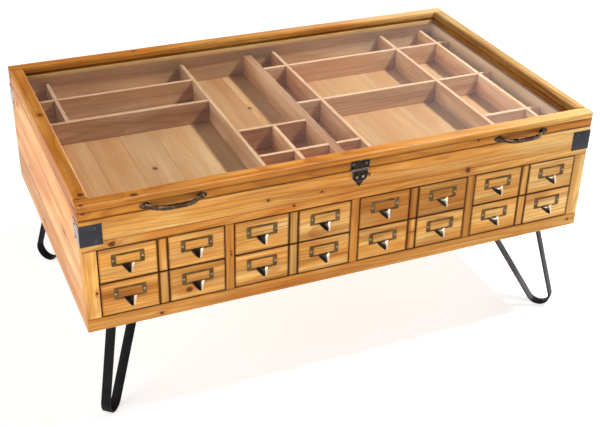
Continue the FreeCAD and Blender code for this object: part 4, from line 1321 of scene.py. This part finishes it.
def lid_rail(mb, x0, x1, y0, y1, grain, inner, tone, knots=(), dark=0.6, well=0.0):
    """Lower rail as an L section, made in one closed piece."""
    SEED[0] += 1
    rng = random.Random(SEED[0] * 3571)
    # section in (a, z): a runs from the outer face (0) to the inner face (26)
    r = 0.9
    sec = [(0.0, LID0 + 3.4), (0.0, LID0 + r), (0.27, LID0 + 0.27), (r, LID0)]
    sec += [(26.0 - r, LID0), (26.0 - 0.27, LID0 + 0.27), (26.0, LID0 + r)]
    sec += [(26.0, GZ0 - 0.3), (25.7, GZ0), (20.3, GZ0), (20.0, GZ0 + 0.3)]
    sec += [(20.0, LID1), (r, LID1), (0.27, LID1 - 0.27), (0.0, LID1 - r), (0.0, LID1 - 3.2)]
    ed = [0.05, 1, 1, 1, .6, .6, .6 + well, .2 + well, .2, 0, 0, 0, 1, 1, 1, 0.1]
    a0, a1 = (x0, x1) if grain == "x" else (y0, y1)
    n = len(sec)
    steps = [a0, a0 + 0.6] + [a0 + (a1 - a0) * k / 14.0 for k in range(1, 14)] + [a1 - 0.6, a1]
    verts, faces, edge = [], [], []
    cen_a = 13.0
    for k, s in enumerate(steps):
        sh = 0.5 if k in (0, len(steps) - 1) else 0.0
        for (a, z), e in zip(sec, ed):
            aa = a + (sh if a < cen_a else -sh)
            zz = z + (sh if z < (LID0 + LID1) / 2 else -sh) * (0.8 if 0.5 < a < 25.5 else 0.3)
            if grain == "x":
                y = (y0 + aa) if inner > 0 else (y1 - aa)
                verts.append((s, y, zz))
            else:
                x = (x0 + aa) if inner > 0 else (x1 - aa)
                verts.append((x, s, zz))
            edge.append(max(e * dark, 0.8 * dark) if sh else e * dark)
    m = len(steps)
    for k in range(m - 1):
        for i in range(n):
            j = (i + 1) % n
            faces.append([k * n + i, k * n + j, (k + 1) * n + j, (k + 1) * n + i])
    faces.append(list(range(n))[::-1])
    faces.append([(m - 1) * n + i for i in range(n)])
    v = np.array(verts)
    p = v[faces[0]]
    nn = np.cross(p[1] - p[0], p[2] - p[0])
    ctr = v[:n].mean(0)
    if np.dot(nn, p.mean(0) - ctr) < 0:
        faces = [f[::-1] for f in faces]
    c = np.array([(x0 + x1) / 2, (y0 + y1) / 2, (LID0 + LID1) / 2])
    dims = (x1 - x0, y1 - y0, LID1 - LID0)
    at = wood_coords(v, c, dims, grain, rng, None, knots, tone, cross="z")
    mb.add(v, faces, 0, edge=np.array(edge), **at)


mb = Mesh()
lid_rail(mb, -HX, HX, -HY, -LIY, "x", 1,
         ((-460.0, 0.71, 1.0), (-200.0, 0.65, 1.1), (0.0, 0.67, 1.1), (200.0, 0.90, 0.55),
          (400.0, 0.86, 0.15), (500.0, 0.86, 0.1)),
         knots=[(-491.0, 7.0, 3.4), (246.0, 6.0, 2.6)])
lid_rail(mb, -HX, HX, LIY, HY, "x", -1, (0.80, 0.5), well=-1.7)
lid_rail(mb, -HX, -LIX, -LIY, LIY, "y", 1, (0.92, 0.45))
lid_rail(mb, LIX, HX, -LIY, LIY, "y", -1, (0.86, 0.5), well=0.8)
mb.build("lid_lower_frame", [TOPW], "lid", "pine", ["lid_lower_frame"], angle=50.0)

def top_rail(mb, x0, x1, y0, y1, grain, inner, tone, ew, knots=(), fade=False, painted_glare=0.0):
    """Upper lid rail with a rounded inner lip. ew: edge weights by place."""
    SEED[0] += 1
    rng = random.Random(SEED[0] * 3571)
    b, t = LID1, LID2
    sec = [(0.0, b + 0.4, "base"), (0.4, b, "base"), (25.6, b, "base"), (26.0, b + 0.4, "seat"),
           (26.0, b + 1.6, "seat"), (26.0, b + 2.6, "face"), (26.0, t - 4.6, "face"),
           (25.8, t - 3.2, "lip"), (25.2, t - 1.9, "lip"), (24.2, t - 0.8, "lip"),
           (22.8, t - 0.15, "lip2"), (21.4, t, "in"), (17.0, t, "in2"), (9.0, t, "mid"),
           (3.4, t, "out"), (1.6, t - 0.12, "arris"), (0.6, t - 0.6, "arris"),
           (0.12, t - 1.6, "arris"), (0.0, t - 3.2, "out"), (0.0, b + 3.0, "side")]
    a0, a1 = (x0, x1) if grain == "x" else (y0, y1)
    n = len(sec)
    steps = [a0, a0 + 0.5, a0 + 2.2] + [a0 + (a1 - a0) * k / 18.0 for k in range(1, 18)] + \
            [a1 - 2.2, a1 - 0.5, a1]
    m = len(steps)
    verts, faces, edge = [], [], []
    ph = rng.uniform(0, 6.28)
    for k, s in enumerate(steps):
        sh = 0.45 if k in (0, m - 1) else 0.0
        wv = 0.12 * math.sin(s * 0.021 + ph) + 0.08 * math.sin(s * 0.053 + 2 * ph)
        for (a, z, key) in sec:
            aa = a + (sh if a < 13.0 else -sh)
            zz = z + (sh if z < b + 5 else -sh)
            if z > t - 1.0 and not sh:
                zz -= 0.14 + wv * 0.6
            if grain == "x":
                verts.append((s, (y0 + aa) if inner > 0 else (y1 - aa), zz))
            else:
                verts.append(((x0 + aa) if inner > 0 else (x1 - aa), s, zz))
            e = ew.get(key, 0.0)
            if fade and e < 0:
                e *= 0.12 + 0.88 * min(1.0, 1.25 * (a1 - s) / (a1 - a0))
            if painted_glare and z > t - 1.0 and key not in ("lip", "lip2"):
                # painted glare: the top is paler towards this rail's far end
                e -= painted_glare * max(0.0, (s - a0) / (a1 - a0) - 0.42) / 0.58
            edge.append(max(e, 0.45) if k in (0, 1, m - 2, m - 1) else e)
    for k in range(m - 1):
        for i in range(n):
            j = (i + 1) % n
            faces.append([k * n + i, k * n + j, (k + 1) * n + j, (k + 1) * n + i])
    faces.append(list(range(n))[::-1])
    faces.append([(m - 1) * n + i for i in range(n)])
    v = np.array(verts)
    p = v[faces[5]]
    nn = np.cross(p[1] - p[0], p[2] - p[0])
    ctr = v[:n].mean(0)
    if np.dot(nn, p.mean(0) - ctr) < 0:
        faces = [f[::-1] for f in faces]
    c = np.array([(x0 + x1) / 2, (y0 + y1) / 2, (LID1 + LID2) / 2])
    at = wood_coords(v, c, (x1 - x0, y1 - y0, LID2 - LID1), grain, rng, None, knots, tone)
    mb.add(v, faces, 0, edge=np.array(edge), **at)


mb = Mesh()
# Weights above zero darken, below zero paint the pale colour. The dark weights at the seat, face and
# lip by the glass are painted shade; the pale weights on lips, arrises and tops are painted
# highlights.
DARKIN = {"base": 0.7, "seat": 1.0, "face": 0.55, "lip": 0.7, "lip2": 0.65, "in": 0.35,
          "in2": 0.05, "mid": -0.3, "out": -0.1, "arris": -0.3, "side": -0.2}
BACKR = {"base": 0.7, "seat": 0.9, "face": 0.45, "lip": 0.5, "lip2": 0.45, "in": 0.2,
         "in2": 0.1, "mid": 0.0, "out": 0.0, "arris": -0.5}
FRONT = {"base": 0.75, "seat": 0.5, "face": 0.2, "lip": -0.3, "lip2": -0.4, "in": 0.0,
         "in2": 0.05, "mid": 0.12, "out": 0.12, "arris": -0.25, "side": 0.15}
LEFT = {"base": 0.6, "seat": -0.2, "face": -0.5, "lip": -0.85, "lip2": -0.25, "in": 0.2,
        "in2": 0.2, "mid": 0.1, "out": 0.0, "arris": -0.30, "side": 0.1}
# brightness and warmth along the front and back top rails; the paler, cooler right end is painted
# glare
RISE = ((-500.0, 0.80, 0.95), (0.0, 0.85, 0.75), (220.0, 0.75, 0.95), (330.0, 1.0, -0.2),
        (500.0, 1.15, -1.3))
top_rail(mb, -HX, HX, -HY, -LIY, "x", 1, RISE, FRONT, painted_glare=0.6,
         knots=[(-404.0, -7.0, 4.4), (-492.0, -9.0, 3.2)])
top_rail(mb, -HX, HX, LIY, HY, "x", -1, tuple((a, b, w - 0.5) for a, b, w in RISE), BACKR,
         painted_glare=0.95,
         knots=[(-240.0, 1.0, 3.0)])
top_rail(mb, -HX, -LIX, -LIY, LIY, "y", 1, (0.76, 0.8), LEFT, fade=True,
         knots=[(53.0, 1.0, 3.6), (-266.0, 2.0, 5.0)])
top_rail(mb, LIX, HX, -LIY, LIY, "y", -1, (0.57, -0.95), DARKIN)
mb.build("lid_upper_frame", [TOPW], "lid", "pine", ["lid_upper_frame"], angle=60.0)

mb = Mesh()
v, f, e, _ = rounded_box(-LIX - 5.5, LIX + 5.5, -LIY - 5.5, LIY + 5.5, GZ0 + 0.1,
                         LID1 - 0.1, 0.4, 1, 2.0, 400.0)
mb.add(v, f)
mb.build("lid_glass", [GLASS], "lid", "glass", ["lid_glass"], wood=False)


# --------------------------------------------------------------- bow handles
def bow(mb, xc):
    zc = Z0 + 230.0
    n = 60
    path, nrm, wid, thk = [], [], [], []
    for k in range(n + 1):
        t = -1.0 + 2.0 * k / n
        s = 1.0 - t * t
        y = 1.25 + 19.0 * (1.0 - (1.0 - s) ** 1.6)
        path.append((xc + t * 48.5, -HY - y, zc))
        wid.append(8.2 + 2.1 * min(1.0, 1.35 * (1.0 - abs(t) ** 2.2)))
        thk.append(1.0 + 0.95 * (1.0 - t * t))
    for k in range(n + 1):
        a, b = path[max(k - 1, 0)], path[min(k + 1, n)]
        d = Vector((b[0] - a[0], b[1] - a[1], 0)).normalized()
        nrm.append((d.y, -d.x, 0.0))
    verts, faces = [], []
    sec_n = 22
    for p, nr, w, t in zip(path, nrm, wid, thk):
        for q in range(sec_n):
            a = 2 * math.pi * q / sec_n
            ca, sa = math.cos(a), math.sin(a)
            ww = w / 2 * math.copysign(abs(ca) ** 0.75, ca)
            tt = t * math.copysign(abs(sa) ** 0.9, sa)
            if sa > 0:
                # crest along the outside, a little above the middle
                tt += 0.45 * max(0.0, 1.0 - abs(ww - 1.2) / (w * 0.42)) - 0.45
            verts.append((p[0] + nr[0] * tt, min(p[1] + nr[1] * tt, -HY - 0.05),
                          p[2] + ww))
    for k in range(n):
        for q in range(sec_n):
            j = (q + 1) % sec_n
            faces.append([k * sec_n + q, k * sec_n + j,
                          (k + 1) * sec_n + j, (k + 1) * sec_n + q])
    faces.append(list(range(sec_n))[::-1])
    faces.append([n * sec_n + q for q in range(sec_n)])
    v = np.array(verts)
    p = v[faces[0]]
    nn = np.cross(p[1] - p[0], p[2] - p[0])
    if np.dot(nn, p.mean(0) - v[:sec_n].mean(0)) < 0:
        faces = [f[::-1] for f in faces]
    mb.add(v, faces)
    # leaf feet, domed, with a countersunk seat for the screw
    for s in (-1, 1):
        c = xc + s * 49.5
        sc = xc + s * 52.0
        rings = [(1.0, 0.0), (1.0, 0.9), (0.97, 1.25), (0.90, 1.6), (0.78, 1.9),
                 (0.64, 2.0), (0.50, 2.0)]
        m = 36
        verts, faces = [], []
        for k, h in rings:
            for q in range(m):
                a = 2 * math.pi * q / m
                px = 9.0 * math.cos(a)
                pz = 6.2 * math.sin(a) * (1.0 - 0.25 * math.cos(a) * s)
                bx, bz = c + px * k, zc + pz * k
                if k <= 0.5:
                    bx, bz = sc + 2.75 * math.cos(a), zc + 2.75 * math.sin(a)
                verts.append((bx, -HY - h, bz))
        for q in range(m):
            a = 2 * math.pi * q / m
            verts.append((sc + 2.7 * math.cos(a), -HY - 1.1, zc + 2.7 * math.sin(a)))
        nr = len(rings) + 1
        for k in range(nr - 1):
            for q in range(m):
                j = (q + 1) % m
                faces.append([k * m + q, k * m + j, (k + 1) * m + j, (k + 1) * m + q])
        faces.append(list(range(m))[::-1])
        faces.append([(nr - 1) * m + q for q in range(m)])
        v = np.array(verts)
        ctr = v[:m].mean(0)
        p = v[faces[0]]
        nn = np.cross(p[1] - p[0], p[2] - p[0])
        if np.dot(nn, p.mean(0) - ctr) < 0:
            faces = [f[::-1] for f in faces]
        mb.add(v, faces, 1)


lid_screws = Mesh()
for s, nm in ((-1, "lid_handle_left"), (1, "lid_handle_right")):
    mb = Mesh()
    bow(mb, s * 339.0)
    mb.build(nm, [BRONZE, FOOTM], "lid", "bronze", [nm], wood=False, angle=60.0)
    for q in (-1, 1):
        slotted_screw(lid_screws, 2.6, 1.5,
                      (s * 339.0 + q * 52.0, -HY - 1.2, Z0 + 230.0), (0, -1, 0), 0.7 + q)

# -------------------------------------------------------------------- hinges
PIN_Y, PIN_Z = HY + 3.6, RIM + 0.5
case_l, lid_l, pins, cscrews = Mesh(), Mesh(), Mesh(), Mesh()
for s in (-1, 1):
    xc = s * 330.0
    x0 = xc - 31.0
    step = 62.0 / 5
    for k in range(5):
        a, b = x0 + k * step + 0.15, x0 + (k + 1) * step - 0.15
        tgt = case_l if k % 2 == 0 else lid_l
        ri = 1.62 if k % 2 == 0 else 1.7
        prof = [(ri, 0), (2.95, 0), (3.2, 0.25), (3.2, b - a - 0.25), (2.95, b - a),
                (ri, b - a), (ri, 0)]
        v, f = revolve(prof, 24, (a, PIN_Y, PIN_Z), (1, 0, 0))
        tgt.add(v, f)
        sg = -1 if k % 2 == 0 else 1
        v, f, _, _ = rounded_box(a, b, HY, HY + 1.4, min(PIN_Z + sg * 1.5, PIN_Z + sg * 5),
                                 max(PIN_Z + sg * 1.5, PIN_Z + sg * 5), 0.2, 1, 0.5, 20)
        tgt.add(v, f)
    v, f, _, _ = rounded_box(x0, x0 + 62, HY, HY + 1.4, PIN_Z - 26.0, PIN_Z - 4.2, 0.4, 2,
                             1.0, 20)
    case_l.add(v, f)
    v, f, _, _ = rounded_box(x0, x0 + 62, HY, HY + 1.4, PIN_Z + 4.2, PIN_Z + 24.0, 0.4, 2,
                             1.0, 20)
    lid_l.add(v, f)
    v, f = revolve([(0, 0), (1.2, 0), (1.55, 0.35), (1.55, 62.65), (1.2, 63), (0, 63)], 20,
                   (x0 - 0.5, PIN_Y, PIN_Z), (1, 0, 0))
    pins.add(v, f)
    for dx, dz in ((-22.0, 0.0), (0.0, -5.0), (22.0, 0.0)):
        slotted_screw(cscrews, 2.8, 1.2, (xc + dx, HY + 1.4, PIN_Z - 15.0 + dz), (0, 1, 0),
                      dx * 0.11 + 0.4)
        slotted_screw(lid_screws, 2.8, 1.2, (xc + dx, HY + 1.4, PIN_Z + 14.5 - dz * 0.6),
                      (0, 1, 0), dx * 0.07 + 1.1)
case_l.build("hinge_case_leaves", [BRONZE], "case", "bronze", ["hinge_case_leaves"],
             wood=False)
lid_l.build("hinge_lid_leaves", [BRONZE], "lid", "bronze", ["hinge_lid_leaves"], wood=False)
pins.build("hinge_pins", [NAIL], "case", "nail_steel", ["hinge_pins"], wood=False)
cscrews.build("hinge_case_screws", [BRONZE], "case", "bronze", ["hinge_case_screws"],
              wood=False)

# ---------------------------------------------------------------------- hasp
CX = 4.0
KY, HPZ = -HY - 2.7, Z0 + 223.0
mb = Mesh()
poly = [(CX - 19, HPZ + 2.9), (CX + 19, HPZ + 2.9), (CX + 19, Z0 + 236.5)]
for k in range(7):
    a = math.radians(15 * k)
    poly.append((CX + 16.5 + 2.5 * math.cos(a), Z0 + 237.5 + 2.5 * math.sin(a)))
for k in range(7):
    a = math.radians(90 + 15 * k)
    poly.append((CX - 16.5 + 2.5 * math.cos(a), Z0 + 237.5 + 2.5 * math.sin(a)))
poly.append((CX - 19, Z0 + 236.5))
plate_xz(mb, poly, -HY, 1.3, 0.4)
for a, b in ((-19.0, -11.0), (11.0, 19.0)):
    v, f = revolve([(1.1, 0), (2.0, 0), (2.3, 0.3), (2.3, b - a - 0.3), (2.0, b - a),
                    (1.1, b - a), (1.1, 0)], 20, (CX + a, KY, HPZ), (1, 0, 0))
    mb.add(v, f)
    v, f, _, _ = rounded_box(CX + a, CX + b, -HY - 1.3, -HY, HPZ + 0.5, HPZ + 4.0, 0.2, 1,
                             0.4, 20)
    mb.add(v, f)
v, f = revolve([(0, 0), (0.8, 0), (1.08, 0.3), (1.08, 38.3), (0.8, 38.6), (0, 38.6)], 16,
               (CX - 19.3, KY, HPZ), (1, 0, 0))
mb.add(v, f)
mb.build("hasp_lid_plate", [HASPM], "lid", "bronze", ["hasp_lid_plate"], wood=False)
for dx in (-13.0, 13.0):
    dome(lid_screws, 2.4, 1.4, (CX + dx, -HY - 1.3, Z0 + 233.0), (0, -1, 0))
lid_screws.build("lid_screws", [HASPM], "lid", "bronze", ["lid_screws"], wood=False)

mb = Mesh()
TG = [(-15.0, 219.8), (-15.5, 214.0), (-15.0, 208.0), (-12.6, 203.0), (-9.0, 200.2),
      (-5.0, 198.9), (0.0, 198.5), (5.0, 198.9), (9.0, 200.2), (12.6, 203.0),
      (15.0, 208.0), (15.5, 214.0), (15.0, 219.8)]
plate_xz(mb, [(CX + a, Z0 + b) for a, b in TG], KY + 0.8, 1.6, 0.5)
v, f, _, _ = rounded_box(CX - 10.6, CX + 10.6, KY - 0.8, KY + 0.8, Z0 + 218.6, Z0 + 222.0,
                         0.3, 1, 0.5, 20)
mb.add(v, f)
v, f = revolve([(1.2, 0), (2.0, 0), (2.3, 0.3), (2.3, 21.1), (2.0, 21.4), (1.2, 21.4),
                (1.2, 0)], 20, (CX - 10.7, KY, HPZ), (1, 0, 0))
mb.add(v, f)
for dx in (-6.0, 6.0):
    dome(mb, 2.7, 1.9, (CX + dx, KY - 0.8, Z0 + 208.0), (0, -1, 0), n=24, mat=1)
v, f = revolve([(0, 0), (1.3, 0), (1.3, 4.6), (0, 4.6)], 12,
               (CX + 13.4, KY, Z0 + 209.2), (1, 0, 0))
mb.add(v, f)
prof = [(0.0, -2.5)]
for k in range(1, 12):
    a = -math.pi / 2 + math.pi * k / 12
    prof.append((2.5 * math.cos(a), 2.5 * math.sin(a)))
prof.append((0.0, 2.5))
v, f = revolve(prof, 20, (CX + 18.2, KY - 1.0, Z0 + 209.2), (0, -1, 0))
mb.add(v, f)
mb.build("hasp_tongue", [HASPM, PIN], "hasp_tongue", "bronze", ["hasp_tongue"], wood=False)

mb = Mesh()
SH = [(-12.0, 218.0), (12.0, 218.0), (12.0, 205.0), (8.5, 199.0), (5.0, 193.5),
      (1.6, 188.2), (0.0, 187.0), (-1.6, 188.2), (-5.0, 193.5), (-8.5, 199.0),
      (-12.0, 205.0)]
plate_xz(mb, [(CX + a, Z0 + b) for a, b in SH], -HY, 1.3, 0.35)
mb.build("hasp_strike", [HASPM], "case", "bronze", ["hasp_strike"], wood=False)

# --------------------------------------------------------------------- stage
me = bpy.data.meshes.new("floor")
me.from_pydata([(-14, -14, 0), (14, -14, 0), (14, 14, 0), (-14, 14, 0)], [], [(0, 1, 2, 3)])
floor = bpy.data.objects.new("floor", me)
bpy.context.scene.collection.objects.link(floor)
g = Nodes("floor_paper")
n1, _ = g.noise(g.coord(), 1.2, 2.0, 0.5)
fp = g.principled(Base_Color=g.mix(n1, (0.42, 0.42, 0.42), (0.45, 0.45, 0.45)),
                  Roughness=0.75, Emission_Color=(1.0, 1.0, 1.0, 1.0))
fp.inputs["Emission Strength"].default_value = 0.68
me.materials.append(g.mat)

world = bpy.data.worlds.new("studio")
bpy.context.scene.world = world
world.use_nodes = True
wt = world.node_tree
bg = wt.nodes["Background"]
tc = wt.nodes.new("ShaderNodeTexCoord")


def wmath(op, a, b, c=0.0):
    n = wt.nodes.new("ShaderNodeMath")
    n.operation = op
    for k, q in enumerate((a, b, c)):
        if isinstance(q, bpy.types.NodeSocket):
            wt.links.new(q, n.inputs[k])
        else:
            n.inputs[k].default_value = q
    return n.outputs[0]


def lobe(direction, lo, hi, amount):
    """A soft bright patch of the studio around one direction."""
    d = wt.nodes.new("ShaderNodeVectorMath")
    d.operation = "DOT_PRODUCT"
    wt.links.new(tc.outputs["Generated"], d.inputs[0])
    d.inputs[1].default_value = Vector(direction).normalized()
    r = wt.nodes.new("ShaderNodeMapRange")
    r.interpolation_type = "SMOOTHSTEP"
    wt.links.new(d.outputs["Value"], r.inputs["Value"])
    r.inputs["From Min"].default_value = lo
    r.inputs["From Max"].default_value = hi
    r.inputs["To Max"].default_value = amount
    return r.outputs["Result"]


sky = wmath("ADD", lobe((0.0, 0.0, -1.0), -0.24, -0.05, 0.82), 0.07)
for direction, lo, hi, amount in (((-0.75, 0.35, 0.56), 0.70, 0.98, 1.7),
                                  ((0.78, 0.52, 0.35), 0.80, 1.0, 0.80),
                                  ((-0.10, 0.90, 0.42), 0.66, 1.0, 0.12)):
    sky = wmath("ADD", sky, lobe(direction, lo, hi, amount))
bg.inputs[0].default_value = (0.97, 0.985, 1.0, 1.0)
wt.links.new(sky, bg.inputs[1])


def area(name, loc, target, size, energy, colour=(1, 1, 1), size_y=None):
    d = bpy.data.lights.new(name, "AREA")
    d.energy = energy
    d.color = colour
    d.shape = "RECTANGLE"
    d.size = size
    d.size_y = size_y or size
    o = bpy.data.objects.new(name, d)
    o.location = loc
    o.rotation_mode = "QUATERNION"
    o.rotation_quaternion = (Vector(target) - Vector(loc)).to_track_quat("-Z", "Y")
    bpy.context.scene.collection.objects.link(o)
    return o


area("key_right", (1.39, -0.35, 2.23), (0.0, 0.0, 0.35), 0.26, 78.0, (1.0, 0.985, 0.96))
area("fill_left", (-3.4, -0.35, 0.95), (0.0, 0.0, 0.36), 2.4, 62.0, (1.0, 0.985, 0.965),
     size_y=1.85)
area("front_soft", (-1.3, -3.0, 0.5), (0.0, 0.0, 0.32), 2.2, 50.0, size_y=0.9)
area("box_right", (2.0, -0.15, 0.64), (0.0, -0.2, 0.5), 1.3, 11.0, size_y=1.1)
bpy.context.scene.view_settings.view_transform = "Standard"

# -------------------------------------------------------------------- camera
az, el, roll = math.radians(23.852), math.radians(30.918), math.radians(1.423)
fwd = Vector((math.sin(az) * math.cos(el), math.cos(az) * math.cos(el), -math.sin(el)))
rgt = Vector((math.cos(az), -math.sin(az), 0.0))
up = rgt.cross(fwd)
r2 = rgt * math.cos(roll) + up * math.sin(roll)
u2 = -rgt * math.sin(roll) + up * math.cos(roll)
cd = bpy.data.cameras.new("camera")
cam = bpy.data.objects.new("camera", cd)
bpy.context.scene.collection.objects.link(cam)
cd.lens = 64.956
cd.sensor_width = 36.0
cd.sensor_fit = "HORIZONTAL"
cd.clip_start, cd.clip_end = 0.05, 60.0
cam.matrix_world = Matrix((
    (r2.x, u2.x, -fwd.x, -0.77276),
    (r2.y, u2.y, -fwd.y, -1.80328 + SHIFT * 0.001),
    (r2.z, u2.z, -fwd.z, 1.34236),
    (0.0, 0.0, 0.0, 1.0)))
bpy.context.scene.camera = cam
